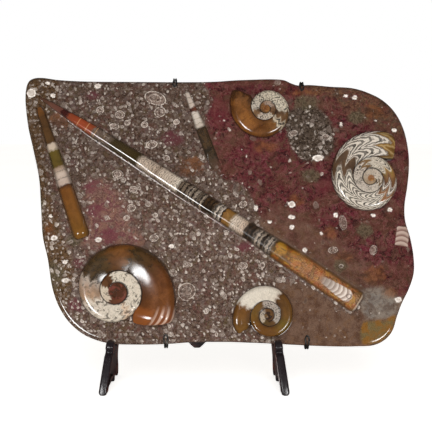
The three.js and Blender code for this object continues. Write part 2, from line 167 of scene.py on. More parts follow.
def evenly(curve, count):
    """Points at equal steps of length along a closed curve."""
    loop = np.vstack([curve, curve[:1]])
    run = np.concatenate([[0], np.cumsum(np.linalg.norm(np.diff(loop, axis=0), axis=1))])
    at = np.linspace(0, run[-1], count, endpoint=False)
    return np.stack([np.interp(at, run, loop[:, k]) for k in range(loop.shape[1])], -1)


def outward(curve):
    """Unit normals of a closed curve: each tangent turned a quarter left where the curve runs
    clockwise, and right where it doesn't."""
    tangent = np.roll(curve, -1, axis=0) - np.roll(curve, 1, axis=0)
    tangent /= np.linalg.norm(tangent, axis=1, keepdims=True)
    turned = np.stack([-tangent[:, 1], tangent[:, 0]], -1)
    after = np.roll(curve, -1, axis=0)
    area = np.sum(curve[:, 0] * after[:, 1] - curve[:, 1] * after[:, 0])
    return turned if area < 0 else -turned


def depth_inside(u, v, outline):
    """How far a point lies inside a smooth closed outline, in millimetres, negative outside: the
    distance to its nearest edge, signed by counting the edges that pass above the point."""
    loop = smooth_closed(outline, 3)
    point = np.stack([u, v], -1).reshape(-1, 1, 2)
    start, end = loop[None], np.roll(loop, -1, axis=0)[None]
    run = end - start
    share = np.clip(np.sum((point - start) * run, -1) / np.sum(run * run, -1), 0, 1)
    near = np.min(np.linalg.norm(point - start - share[..., None] * run, axis=-1), axis=1)
    spanned = (start[..., 0] > point[..., 0]) != (end[..., 0] > point[..., 0])
    rise = np.where(run[..., 0] == 0, 1e-9, run[..., 0])
    above = start[..., 1] + (point[..., 0] - start[..., 0]) / rise * run[..., 1] > point[..., 1]
    odd = np.sum(spanned & above, axis=1) % 2 == 1
    return np.where(odd, near, -near).reshape(np.shape(u))


def depth_in_patches(u, v, patches):
    """How far a point lies inside the nearest oval patch: one less its distance from the middle
    in half-widths, times the smaller half-width."""
    u0, v0, half_u, half_v = np.array(patches, float).T
    reach = np.sqrt(((u[..., None] - u0) / half_u) ** 2 + ((v[..., None] - v0) / half_v) ** 2)
    return np.max((1 - reach) * np.minimum(half_u, half_v), axis=-1)


def stone_marks(u, v, depth):
    """What the stone's material needs to know at each point: its place in the slab and how far
    it lies inside each kind of stone and patch."""
    u, v, depth = np.broadcast_arrays(u, v, depth)
    inside = [depth_inside(u, v, outline) for outline in STONE_KINDS.values()]
    inside += [depth_in_patches(u, v, patches) for patches in PATCHES.values()]
    marks = {"slab_place": np.stack([u, v, depth], -1)}
    for number, name in enumerate(("stone_a", "stone_b", "stone_c", "patches")):
        marks[name] = np.stack(inside[3 * number:3 * number + 3], -1)
    return marks


def quads_between(at):
    """Quads from each ring of a grid of point numbers to the next."""
    low, high = at[:-1], at[1:]
    return np.stack([low, np.roll(low, -1, 1), np.roll(high, -1, 1), high], -1).reshape(-1, 4)


def new_piece(name, points, faces, material, marks, flat_faces=0):
    """A mesh object at the origin. Marks are values kept at the points for the material, and the
    last faces may stay flat."""
    mesh = bpy.data.meshes.new(name)
    mesh.from_pydata(points.tolist(), [], faces)
    mesh.polygons.foreach_set("use_smooth", np.arange(len(faces)) < len(faces) - flat_faces)
    for mark_name, values in marks.items():
        kind, key = ("FLOAT", "value") if values.shape[1] == 1 else ("FLOAT_VECTOR", "vector")
        mesh.attributes.new(mark_name, kind, "POINT").data.foreach_set(key, values.ravel())
    mesh.materials.append(material)
    piece = bpy.data.objects.new(name, mesh)
    scene.collection.objects.link(piece)
    return piece


def closed_piece(name, rings, material, marks, flat_ends=False):
    """A closed skin over a stack of rings, rings[row, point] = (x, y, z). The first and last ring
    are drawn together to a middle point, or closed by one flat face. The skin is turned so that
    it encloses a positive volume."""
    rows, around = rings.shape[:2]
    count = rows * around

    def with_middles(grid):
        grid = np.asarray(grid, float).reshape(rows, around, -1)
        return np.vstack([grid.reshape(count, -1), grid[:1].mean(1), grid[-1:].mean(1)])

    points = with_middles(rings)
    at = np.arange(count).reshape(rows, around)
    quads = quads_between(at)
    fans = np.vstack([
        np.stack([np.full(around, count), np.roll(at[0], -1), at[0]], -1),
        np.stack([np.full(around, count + 1), at[-1], np.roll(at[-1], -1)], -1)])
    ends = [at[0][::-1], at[-1]]
    a, b, c = (points[np.vstack([quads[:, [0, 1, 2]], quads[:, [0, 2, 3]], fans])[:, k]] for k in range(3))
    if np.einsum("ij,ij->", a, np.cross(b, c)) < 0:
        quads, fans, ends = quads[:, ::-1], fans[:, ::-1], [end[::-1] for end in ends]
    closing = ends if flat_ends else fans
    kept = count if flat_ends else count + 2
    return new_piece(
        name, points[:kept], quads.tolist() + [face.tolist() for face in closing], material,
        {mark_name: with_middles(values)[:kept] for mark_name, values in marks.items()},
        flat_faces=2 if flat_ends else 0)


class Value:
    """What a shader node gives. Values are written into formulas, and each step of a formula
    becomes a node in the same tree."""

    def __init__(self, socket):
        self.socket = socket

    def __mul__(self, other):
        return Product(self, other)

    def __add__(self, other):
        return other + self if isinstance(other, Product) else step("ADD", self, other)

    def __sub__(self, other):
        return self + -other if isinstance(other, (int, float)) else step("SUBTRACT", self, other)

    def __rsub__(self, other):
        return step("SUBTRACT", other, self)

    def __truediv__(self, other):
        return step("DIVIDE", self, other)

    def __abs__(self):
        return step("ABSOLUTE", self)


class Product(Value):
    """Two values multiplied. What is added to them joins the same step."""

    def __init__(self, *factors):
        self.factors = factors
        self.made = None

    @property
    def socket(self):
        self.made = self.made or step("MULTIPLY", *self.factors).socket
        return self.made

    def __add__(self, other):
        return step("MULTIPLY_ADD", *self.factors, other)


def paint(code):
    """A colour from its six hexadecimal digits, as linear light."""
    channels = [int(code[k:k + 2], 16) / 255 for k in (0, 2, 4)]
    return [c / 12.92 if c <= 0.04045 else ((c + 0.055) / 1.055) ** 2.4 for c in channels] + [1.0]


def put(made, inputs):
    """Links a node's inputs to values and sets the others, a colour by its six digits."""
    for key, value in inputs.items():
        if isinstance(value, Value):
            made.id_data.links.new(value.socket, made.inputs[key])
        else:
            made.inputs[key].default_value = paint(value) if isinstance(value, str) else value
    return made


def new_node(kind, inputs, tree=None, **settings):
    """A node with its settings and inputs, in the tree of the values that it is given. Their own
    nodes are made first, because nodes made out of order cost the renderer memory."""
    trees = [value.socket.id_data for value in inputs.values() if isinstance(value, Value)]
    made = (tree or trees[0]).nodes.new(kind)
    for key, value in settings.items():
        setattr(made, key, value)
    return put(made, inputs)


def get(kind, inputs, output=0, tree=None, **settings):
    """One output of a new node."""
    return Value(new_node(kind, inputs, tree, **settings).outputs[output])


def step(operation, *values, clamp=False):
    """One step of arithmetic."""
    return get("ShaderNodeMath", dict(enumerate(values)), operation=operation, use_clamp=clamp)


def largest(first, *others):
    """The largest of several values."""
    for other in others:
        first = step("MAXIMUM", first, other)
    return first


def between(value, low, high):
    """0 at low, 1 at high and smooth between; where low is above high it falls instead."""
    ends = {"From Min": min(low, high), "From Max": max(low, high),
            "To Min": float(low > high), "To Max": float(low < high)}
    return get("ShaderNodeMapRange", {"Value": value, **ends}, "Result", interpolation_type="SMOOTHSTEP")


def apart(value, middle, low, high):
    """The same for a value's distance from a middle one."""
    return between(abs(value - middle), low, high)


def stretch(value, start, full, fading, end):
    """0 up to start, 1 from full to fading and 0 again from end."""
    return between(value, start, full) * between(value, end, fading)


def blend(amount, under, over):
    """The colour under where amount is 0 and over where it is 1."""
    return get("ShaderNodeMix", {0: amount, 6: under, 7: over}, 2, data_type="RGBA")


def two_tone(value, low, high, dark, light, *stains):
    """A stone of two tones, then its stains, each a value, its two limits, amount and colour."""
    colour = blend(between(value, low, high), dark, light)
    for stain, start, full, amount, code in stains:
        colour = blend(between(stain, start, full) * amount, colour, code)
    return colour


def mark(tree, name, output="Vector"):
    """A value kept at the piece's own points."""
    return get("ShaderNodeAttribute", {}, output, tree, attribute_name=name)


def parts_of(vector):
    """The three numbers of a vector."""
    return [Value(socket) for socket in new_node("ShaderNodeSeparateXYZ", {0: vector}).outputs]


def channels_of(colour):
    """The three numbers of a colour."""
    return [Value(socket) for socket in new_node("ShaderNodeSeparateColor", {0: colour}).outputs]


def reach_of(x, y):
    """How far a point lies from the middle of its plane."""
    flat = get("ShaderNodeCombineXYZ", {0: x, 1: y})
    return get("ShaderNodeVectorMath", {0: flat}, "Value", operation="LENGTH")


def noise(place, scale, detail=3.0, roughness=0.5, distortion=0.0, output="Fac"):
    """Soft noise, from about 0.25 to 0.75, or three such noises as a colour."""
    return get("ShaderNodeTexNoise", {
        "Vector": place, "Scale": scale, "Detail": detail, "Roughness": roughness,
        "Distortion": distortion}, output)


SOCKETS = {"f": "NodeSocketFloat", "v": "NodeSocketVector", "c": "NodeSocketColor"}


def node_group(name, given, gives):
    """Builds a shader node group, once, from a function of values that returns what the group
    gives. The function's name then places the group, with its own values each time."""
    def build(recipe):
        group = bpy.data.node_groups.new(name, "ShaderNodeTree")
        for direction, sockets in (("INPUT", given), ("OUTPUT", gives)):
            for label, kind in sockets.items():
                group.interface.new_socket(label, in_out=direction, socket_type=SOCKETS[kind])
        inputs = group.nodes.new("NodeGroupInput").outputs
        results = recipe(*(Value(inputs[label]) for label in given))
        put(group.nodes.new("NodeGroupOutput"), dict(zip(gives, results)))

        def place(*values):
            made = new_node("ShaderNodeGroup", dict(zip(given, values)), node_tree=group)
            return [Value(made.outputs[label]) for label in gives]

        return place
    return build


def new_material(name, **even):
    """A material, its tree and its Principled shader, with the values that are even all over."""
    material = bpy.data.materials.new(name)
    material.use_nodes = True
    shader = material.node_tree.nodes["Principled BSDF"]
    return material, material.node_tree, put(shader, {key.replace("_", " "): even[key] for key in even})


def finish(shader, colour, roughness, height, strength=0.25, distance=0.0002):
    """Gives a shader its colour, its roughness and its low relief."""
    bump = get("ShaderNodeBump", {"Height": height, "Strength": strength, "Distance": distance})
    put(shader, {"Base Color": colour, "Roughness": roughness, "Normal": bump})


@node_group("shell_crowd", {"Place": "v", "Cells per mm": "f", "Share": "f", "Wall": "f"},
            {"Wall mask": "f", "Inside mask": "f", "Luck": "f"})
def shell_crowd(place, cells_per_mm, share, wall_width):
    """Small shells cut through by the polish. The stone is split into cells with one shell each.
    Its wall is an oval ring whose radius grows with the angle, as in a coil, and which shows more
    on one side; a smaller ring lies inside it, and cells whose luck is above Share stay empty."""
    cells = new_node("ShaderNodeTexVoronoi", {"Vector": place, "Scale": cells_per_mm}).outputs
    luck = channels_of(Value(cells["Color"]))
    from_cell = {0: place, 1: Value(cells["Position"])}
    across = parts_of(get("ShaderNodeVectorMath", from_cell, operation="SUBTRACT"))
    angle = luck[1] * 6.28 + step("ARCTAN2", across[1], across[0])
    reach = Value(cells["Distance"]) * (step("COSINE", angle * 2.0) * 0.2 + 1.0)
    turn = step("FRACT", angle * 0.159)
    radius = (luck[0] * 0.24 + 0.17) * (turn * 0.3 + 0.8)
    wall = between(abs(reach - radius) / wall_width, 1.0, 0.3)
    core = between(abs(reach - radius * 0.45) / wall_width, 0.8, 0.1)
    there = between(share - luck[2], 0.0, 0.03)
    lit = step("MULTIPLY_ADD", step("COSINE", angle + 1.1), 0.5, 0.75, clamp=True)
    shell = largest(wall * lit, core * luck[1])
    return shell * there, between(radius - reach, 0.0, 0.03) * there, luck[1]


@node_group("cut_shell", {"Own place": "v", "Wall": "f"}, {"Wall mask": "f", "Inside mask": "f"})
def cut_shell(own, wall_width):
    """One larger cut shell, in its own half-widths: an outer wall that grows with the angle, and
    an inner whorl at half its radius."""
    across = parts_of(own)
    reach = reach_of(across[0], across[1])
    turn = step("FRACT", step("ARCTAN2", across[1], across[0]) * 0.159 + 0.3)
    wall = between(abs(reach - (turn * 0.14 + 0.82)) / wall_width, 1.0, 0.2)
    core = between(abs(reach - (turn * 0.2 + 0.4)) / wall_width, 0.9, 0.1)
    return largest(wall, core * 0.75), between(reach, 0.9, 0.8)


@node_group("fossil_limestone",
            {"Place": "v", "Stone A": "v", "Stone B": "v", "Stone C": "v", "Patches": "v"},
            {"Colour": "c", "Pits": "f"})
def fossil_limestone(place, stone_a, stone_b, stone_c, patches):
    """The limestone's colour anywhere in the slab. Kinds of stone blend where their outlines,
    made uneven by noise, meet; then come mottling, crowds of small shells, the larger cut
    shells, and coloured patches."""
    wine_at, corner_at, island_at = parts_of(stone_a)
    taupe_at, pink_at, olive_at = parts_of(stone_b)
    grey_at, gold_at, cream_at = parts_of(stone_c)
    red_at, orange_at, green_at = parts_of(patches)
    broad = noise(place, 0.035, 2.0)
    uneven = noise(place, 0.14, 4.0, 0.6)
    fine = noise(place, 0.5, 4.0, 0.68)
    grit = noise(place, 1.3, 3.0, 0.7)
    warp = noise(place, 0.16, 2.0, output="Color")
    pushed = get("ShaderNodeVectorMath", {0: warp, 1: (5.0, 5.0, 5.0), 2: place}, operation="MULTIPLY_ADD")
    tones = channels_of(noise(place, 0.1, 5.0, 0.62, 1.4, "Color"))
    shifted = uneven * 22.0 - 11.0
    jagged = fine * 9.0 - 4.5

    def mask(distance, soft, wander):
        return between(distance + wander, -soft, soft)

    def own_place(u0, v0, half_u, half_v, turned):
        return get("ShaderNodeMapping", {
            "Vector": place, "Location": (u0, v0, 0), "Rotation": (0, 0, math.radians(turned)),
            "Scale": (half_u, half_v, 1000)}, vector_type="TEXTURE")

    # Grey-brown limestone: mud, mauve and wine-stained in places and olive in others.
    colour = two_tone(fine, 0.34, 0.66, "35261f", "695347", (tones[0], 0.52, 0.62, 0.5, "643c36"),
                      (tones[1], 0.53, 0.63, 0.55, "57492f"), (tones[2], 0.52, 0.62, 0.45, "70615e"))
    olive = two_tone(fine, 0.34, 0.64, "352410", "644a2c")
    colour = blend(mask(olive_at, 5.0, shifted) * 0.75, colour, olive)
    pink = two_tone(fine, 0.35, 0.65, "5c3b32", "8a6a60", (tones[1], 0.5, 0.58, 0.6, "6b2f40"),
                    (tones[2], 0.5, 0.58, 0.45, "4d3028"), (tones[0], 0.52, 0.6, 0.4, "94705a"))
    pink_mask = mask(pink_at, 6.0, shifted)
    colour = blend(pink_mask * 0.85, colour, pink)
    # Wine-red stone, marbled with brown and plum and crossed by fine paler veins.
    wine = two_tone(fine, 0.3, 0.7, "421518", "5a2529", (tones[0], 0.48, 0.58, 0.75, "50382b"),
                    (tones[1], 0.5, 0.59, 0.8, "301314"), (tones[2], 0.52, 0.6, 0.55, "662534"),
                    (uneven, 0.56, 0.66, 0.4, "6b4540"), (uneven, 0.44, 0.34, 0.5, "2c1210"),
                    (broad, 0.5, 0.6, 0.4, "553a2a"))
    seam = apart(noise(pushed, 0.13, 6.0, 0.72, 1.2), 0.5, 0.022, 0.004) * between(tones[2], 0.42, 0.55)
    wine_mask = mask(wine_at, 3.0, jagged)
    colour = blend(wine_mask, colour, blend(seam * 0.4, wine, "9a7160"))
    corner = two_tone(fine, 0.36, 0.64, "38241a", "6b5038", (tones[0], 0.5, 0.58, 0.6, "5a2628"),
                      (tones[1], 0.5, 0.58, 0.5, "4a4436"), (uneven, 0.44, 0.36, 0.6, "2a1a14"))
    colour = blend(mask(corner_at, 5.0, shifted) * 0.8, colour, corner)
    island_mask = mask(island_at, 3.0, jagged)
    colour = blend(island_mask, colour, two_tone(fine, 0.36, 0.64, "2a201a", "584a3e"))
    # Smooth taupe stone at the lower right, with a grey patch and a golden one.
    taupe = two_tone(uneven, 0.34, 0.62, "553c2e", "6c5344", (tones[0], 0.52, 0.62, 0.4, "6b4a2c"),
                     (fine, 0.44, 0.34, 0.45, "3a2820"))
    taupe_mask = mask(taupe_at, 7.0, shifted * 0.5 + jagged)
    colour = blend(taupe_mask * (wine_mask * -0.45 + 1.0), colour, taupe)
    grey = two_tone(uneven, 0.38, 0.62, "5f5148", "80756a", (tones[2], 0.5, 0.6, 0.5, "7c7872"))
    colour = blend(mask(grey_at, 6.0, shifted * 0.7) * 0.9, colour, grey)
    gold = two_tone(uneven, 0.4, 0.6, "6b5a38", "7d5524")
    colour = blend(mask(gold_at, 2.5, shifted * 0.5), colour, gold)

    # Coloured patches with ragged edges.
    wander = shifted * 0.5 + jagged * 0.7
    red = blend(between(fine, 0.42, 0.6) * 0.7, blend(wine_mask, "6c3340", "621f29"), "55282b")
    colour = blend(mask(red_at, 3.2, wander) * (wine_mask * -0.3 + 0.75), colour, red)
    orange_mask = mask(orange_at, 3.0, wander)
    colour = blend(orange_mask * 0.6, colour, two_tone(uneven, 0.4, 0.62, "4e2f1c", "7a4a28"))
    green = two_tone(fine, 0.4, 0.6, "3f3829", "5f5541")
    colour = blend(mask(green_at, 2.0, wander) * 0.75, colour, green)

    # Grit in everything, darkest between the shells.
    colour = blend(between(grit, 0.45, 0.34) * 0.6, colour, "1c120e")
    colour = blend(between(grit, 0.57, 0.7) * (wine_mask * -0.15 + 0.3), colour, "a08a78")

    # Crowds of shells: many in the grey stone and its island, few in the wine and taupe.
    crowded = largest(step("SUBTRACT", 1.0, largest(wine_mask, taupe_mask)), island_mask)
    crowded = crowded * (pink_mask * -0.75 + 1.0) * (orange_mask * -0.8 + 1.0)
    pits = []
    for size, share, wall_width in ((3.2, 0.5, 0.19), (5.0, 0.62, 0.13), (8.4, 0.5, 0.075)):
        amount = crowded * (share * 0.92) + share * 0.08
        wall, inside, luck = shell_crowd(pushed, 1 / size, amount, wall_width)
        colour = blend(inside * 0.55, colour, blend(luck, "382a23", "8f7e73"))
        shell = blend(step("POWER", luck, 2.5), "78675c", "dacec3")
        colour = blend(wall * (luck * 0.55 + 0.3), colour, shell)
        pits.append(wall)
    upper = uneven * 60.0 + (parts_of(place)[1] - 30.0)
    colour = blend(between(upper, 110.0, 220.0) * crowded * 0.3, colour, "1e140b")
    specks = between(noise(place, 0.8, 2.0, 0.6), 0.68, 0.74) * (crowded * 0.8 + 0.12)
    colour = blend(specks, colour, "c9bcb0")

    # The larger cut shells, one by one.
    masks = None
    for shell in CUT_SHELLS:
        cut = cut_shell(own_place(*shell), 0.55 / shell[3])
        masks = [largest(*pair) for pair in zip(masks, cut)] if masks else cut
    walls, insides = masks
    colour = blend(insides * 0.65, colour, two_tone(fine, 0.38, 0.62, "4a3a32", "978479"))
    worn = (between(fine, 0.42, 0.56) * 0.75 + 0.15) * (wine_mask * -0.35 + 1.0)
    colour = blend(walls * worn, colour, "d8ccc0")
    # The ribbed shell at the right rim.
    beside, along, _ = parts_of(own_place(*EDGE_SHELL))
    ribs = step("FRACT", beside * beside * 0.5 + (jagged * 0.03 + along * 1.9))
    edge = between(jagged * 0.03 + largest(abs(beside), abs(along)), 1.0, 0.88)
    colour = blend(edge * 0.9, colour, two_tone(ribs, 0.1, 0.75, "7c5f56", "b8a294"))
    # White shell bits, greyer inside.
    cream = two_tone(fine, 0.4, 0.6, "c2b4a8", "f0e8e0", (cream_at, 1.2, 2.4, 0.5, "8f8075"))
    colour = blend(mask(cream_at, 0.6, jagged * 0.35 - 0.5), colour, cream)
    return colour, largest(*pits, walls)


def in_stone(tree):
    """A point's place in the slab, and the limestone's colour there."""
    marks = [mark(tree, name) for name in ("slab_place", "stone_a", "stone_b", "stone_c", "patches")]
    return marks[0], fossil_limestone(*marks)[0]


@node_group("polish", {"Place": "v", "Dullest": "f"}, {"Roughness": "f", "Waves": "f"})
def polish(place, dullest):
    """The hand polish: how dull it is from place to place, and its faint waves and scratches."""
    fine = noise(place, 0.9, 2.0)
    spread = between(noise(place, 0.03, 3.0, 0.6), 0.3, 0.7) * dullest
    return fine * 0.03 + (spread + 0.03), fine * 0.15 + noise(place, 0.06, 1.0)


def slab_material():
    """Polished limestone on the face and rim; on the back a dull, paler, saw-marked surface."""
    material, tree, shader = new_material("slab_stone", IOR=1.5, Coat_Weight=0.6, Coat_Roughness=0.03)
    place, stone = in_stone(tree)
    roughness, waves = polish(place, 0.06)
    rear = between(parts_of(place)[2], SLAB_HALF - 2.5, SLAB_HALF - 0.3)
    saw = get("ShaderNodeTexWave", {
        "Vector": place, "Scale": 0.25, "Distortion": 4.0, "Detail": 3.0, "Detail Scale": 0.2},
        "Fac", bands_direction="Y")
    finish(shader, blend(rear * 0.5, stone, "8d8177"), rear * 0.5 + roughness, saw * rear * 3.0 + waves)
    return material


def rounded_sides(radius, low, high, steps):
    """Two quarter rounds one after the other, as how far each is set in and at what depth."""
    turn = np.linspace(0, math.pi / 2, steps)
    inset = radius * (1 - np.concatenate([np.sin(turn), np.cos(turn)]))
    return inset, np.concatenate([low + radius * (1 - np.cos(turn)), high - radius * (1 - np.sin(turn))])


def slab_rings():
    """Rings over the slab: from the middle of the face out to the rim, over two quarter rounds
    set in from the outline along its normals, and back to the middle of the back."""
    edge = evenly(smooth_closed(SLAB_OUTLINE, 16), SLAB_AROUND)
    inset, depth = rounded_sides(RIM_RADIUS, FACE, SLAB_HALF, 8)
    rim = edge[None] - inset[:, None, None] * outward(edge)[None]
    face = SLAB_MIDDLE + np.linspace(0.012, 1, 96, endpoint=False)[:, None, None] * (rim[0] - SLAB_MIDDLE)
    back = SLAB_MIDDLE + np.linspace(1, 0.05, 15)[1:, None, None] * (rim[-1] - SLAB_MIDDLE)
    flat = np.concatenate([face, rim, back])
    depths = np.concatenate([np.full(len(face), FACE), depth, np.full(len(back), SLAB_HALF)])
    return flat[..., 0], flat[..., 1], np.broadcast_to(depths[:, None], flat.shape[:2])


def within(points, node):
    """The points, none outside the box of the node that they stand for."""
    low, high = (np.array(corner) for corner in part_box(node))
    return np.clip(points, low, high)


slab_u, slab_v, slab_depth = slab_rings()
slab_body = closed_piece(
    "slab_body", within(on_slab(slab_u, slab_depth, slab_v), "slab"), slab_material(),
    stone_marks(slab_u, slab_v, slab_depth))
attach(slab_body, "root")
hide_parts("slab")

# ========================================
# The straight shells: three tapering chambered shells standing in relief, filled with
# calcite and mud, cut into bands by their chamber walls and polished with the slab.
# ========================================

SHELL_ROOT = 3.0  # how deep a shell reaches into the slab
SHOULDER = 0.93  # of the half-width, where the bow meets the hollow at its foot
HOLLOW_END = 1.17
SUNK_EDGE = 0.05
END_ROWS = 14

LONG_SHELL = {
    "tip": (-197.7, 272.2), "mouth": (151.6, 45.6), "bow": 1.6, "height": 8.0, "sinks": 0.0,
    "half_widths": [(0, 1), (0.035, 3.1), (0.166, 6.6), (0.43, 9.1), (0.69, 10), (0.8, 11.7), (1, 12.4)],
    "flatness": [(0, 3.4), (135, 3.8), (145, 6), (220, 6), (240, 4)],
    "end_rounding": 5.0, "steps": (420, 46),
}
SHORT_SHELL = {
    "tip": (-198, 261), "mouth": (-149, 116.7), "bow": 0.0, "height": 7.0, "sinks": 0.0,
    "half_widths": [(0, 3), (0.04, 4.8), (0.3, 6.4), (0.62, 9), (1, 9.8)],
    "flatness": [(0, 3), (155, 3)], "end_rounding": 7.0, "steps": (200, 36),
}
THIN_SHELL = {
    "tip": (-35.7, 277.7), "mouth": (0.9, 183), "bow": 0.0, "height": 1.5, "sinks": 1.5,
    "half_widths": [(0, 2.6), (0.45, 6), (1, 6.6)],
    "flatness": [(0, 3), (105, 3)], "end_rounding": 30.0, "steps": (120, 26),
}

# Coloured bands along the shells: where each begins, its colour, and how far it is pale filling.
LONG_LENGTH = 420.0
LONG_TIP_BANDS = [
    (0, "4a3226"), (11, "4f3428"), (14, "5d3c30"), (28, "5c382e"), (30, "33120f"), (37, "3c1a15"),
    (39, "74361f"), (55, "8a3c20"), (69, "7c3a20"), (71, "6d5d50", 0.7), (91, "5d5142", 0.6),
    (95, "332a17"), (110, "382d18"), (129, "30260f"), (132, "b7a594", 1), (152, "ab9886", 1),
    (154, "6d5848", 0.8), (157, "b5a492", 1), (174, "b9a998", 1), (181, "d3c6b4", 1), (183, "2c2018", 0.5),
]
LONG_MOUTH_BANDS = [
    (183, "2c2018", 0.5), (188, "7e6d5c", 1), (192, "3c2f24", 0.5), (197, "a09080", 1), (201, "382c20", 0.5),
    (205, "a89888", 1), (208, "231a12", 0.5), (213, "9c8b7a", 1), (216, "1f160f"), (228, "2a2016"),
    (230, "b5a798", 1), (238, "b8aa9c", 1), (239.5, "281c10"), (241, "7b5426"), (250.5, "84602a"),
    (252, "c4b4a2", 1), (267, "b8a08a", 1), (269, "2a1e15", 0.5), (280, "2a1f17", 0.5), (282, "9c8c7e", 1),
    (290, "948473", 1), (291.5, "1e150f"), (294.5, "1e150f"), (296, "ac9c8c", 1), (302, "a59585", 1),
    (304, "1f160c"), (308, "7f5a19"), (325, "7d5219"), (356, "7f431a"), (420, "64401a"),
]
SHORT_BANDS = [
    (0, "5f3a1c"), (8, "5c3a1a"), (11, "472f1a"), (42, "4c361f"), (44, "b5a392", 1), (50, "b8a792", 1),
    (52, "54481c"), (69, "52431c"), (71, "8e7763", 0.9), (78, "b9a798", 1), (90, "b09c8e", 1),
    (92, "44281a"), (96, "6e431b"), (125, "72491f"), (155, "704c1c"),
]
THIN_BANDS = [
    (0, "a89a8e", 1), (17, "b8a89c", 1), (19, "4a2522"), (22, "4a2522"), (24, "c4b8ac", 1),
    (40, "b5a89a", 1), (43, "28221c"), (60, "2c241b"), (78, "282622"), (92, "30261e"), (105, "382a22"),
]


def ramp(value, start, end):
    """0 up to start, 1 past end, and straight between them."""
    return np.clip((value - start) / (end - start), 0, 1)


def across_shell(height, flatness, count):
    """Places across a shell and how far each stands out of the face: a bow that is flatter on top
    the higher its power, and outside its shoulder a hollow curve, its height falling with the
    square of the distance to where it meets the face."""
    side = np.linspace(-1.2, 1.2, count)
    far = np.abs(side)
    bow = height * (1 - np.minimum(far, 1) ** flatness)
    hollow = height * (1 - SHOULDER ** flatness) * ramp(far, HOLLOW_END, SHOULDER) ** 2
    return side, np.where(far < SHOULDER, bow, hollow)


def shell_piece(name, u, v, out, own_place, material, **marks):
    """A shell's skin over its top and back under it, in the slab. Its material also knows each
    point's own place along, across and out from the shell's axis."""
    depth = np.concatenate([FACE - out, np.full(out.shape, FACE + SHELL_ROOT)], axis=1)
    depth[:, [0, out.shape[1] - 1]] += marks.pop("sunk_edges", 0.0)
    marks = {mark_name: np.broadcast_to(values, u.shape) for mark_name, values in marks.items()}
    marks["shell_place"] = np.stack([np.broadcast_to(values, u.shape) for values in own_place], -1)
    marks.update(stone_marks(u, v, depth))
    return closed_piece(name, within(on_slab(u, depth, v), "slab"), material, marks)


def straight_shell(name, shell, material):
    """A tapering bow carried along a slightly bent axis. Across it the outline is the half-width
    at that place; near the wide end width and height shrink as a quarter round."""
    rows, count = shell["steps"]
    tip, mouth = np.array(shell["tip"]), np.array(shell["mouth"])
    length = np.linalg.norm(mouth - tip)
    axis = (mouth - tip) / length
    ending = shell["end_rounding"] / length
    t = np.concatenate([np.linspace(0.0, 1 - ending, rows - END_ROWS, endpoint=False),
                        1 - ending * np.cos(np.linspace(0, math.pi / 2, END_ROWS))])
    left = ramp(t, 1, 1 - ending)
    closing = np.sqrt(np.maximum(1 - (1 - left) ** 2, 0.004))
    place, widths = np.array(shell["half_widths"], float).T
    width = np.interp(t, place, widths)
    half = (width * (0.55 + 0.45 * closing))[:, None]
    height = shell["height"] * width / widths[-1] * closing * left ** shell["sinks"]
    flatness = np.interp(t * length, *np.array(shell["flatness"], float).T)
    side, out = across_shell(height[:, None], flatness[:, None], count)
    side = np.concatenate([side, side[::-1]])[None]
    along = (t * length)[:, None]
    across = side * half - 4 * shell["bow"] * (t * (1 - t))[:, None]
    u = tip[0] + along * axis[0] + across * axis[1]
    v = tip[1] + along * axis[1] - across * axis[0]
    piece = shell_piece(name, u, v, out, (along, side, side * half), material, sunk_edges=SUNK_EDGE)
    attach(piece, "root")
    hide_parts("slab")


def bands(value, whole, stops):
    """A row of coloured bands along a shell of the given whole length: its colour, and how much
    it is pale chamber filling."""
    ramp = new_node("ShaderNodeValToRGB", {"Fac": value / whole})
    elements = ramp.color_ramp.elements
    for number, (at, code, *pale) in enumerate(stops):
        place = min(at / whole, 1.0)
        element = elements[number] if number < 2 else elements.new(place)
        element.position = place
        element.color = paint(code)[:3] + (pale or [0])
    return Value(ramp.outputs["Color"]), Value(ramp.outputs["Alpha"])


@node_group("calcite",
            {"Own place": "v", "Place": "v", "Tint": "c", "Pale": "f", "Marks": "f", "Clouds": "f"},
            {"Colour": "c"})
def calcite(own, place, tint, pale, marks, clouds):
    """Grown calcite under polish: clouds, streaks along the growth and fine dark flecks, all laid
    over the band's own colour. Pale filling gets fine dark growth marks instead of clouds."""
    clouded = between(noise(place, 0.1, 4.0, 0.6, 0.9), 0.34, 0.62)
    streaks = noise(own, 0.5, 4.0, 0.65)
    flecks = noise(place, 1.3, 3.0, 0.7)
    crack = apart(noise(place, 0.2, 4.0, 0.65, 1.0), 0.5, 0.03, 0.004)
    deep = blend(clouded, blend(0.42, tint, "180f05"), blend(0.1, tint, "c98f4c"))
    deep = blend(clouds, tint, deep)
    deep = blend(between(streaks, 0.42, 0.62) * 0.3, deep, tint)
    deep = blend(crack * (clouds * 0.45), deep, "1e1208")
    deep = blend(between(flecks, 0.6, 0.72) * 0.3, deep, "2a1c0e")
    shaded = blend(between(streaks, 0.5, 0.36) * 0.3, tint, "9a8570")
    shaded = blend(between(flecks, 0.6, 0.68) * 0.45, shaded, "4a3a2e")
    shaded = blend(marks * 0.92, shaded, "241c15")
    return [blend(pale, deep, shaded)]


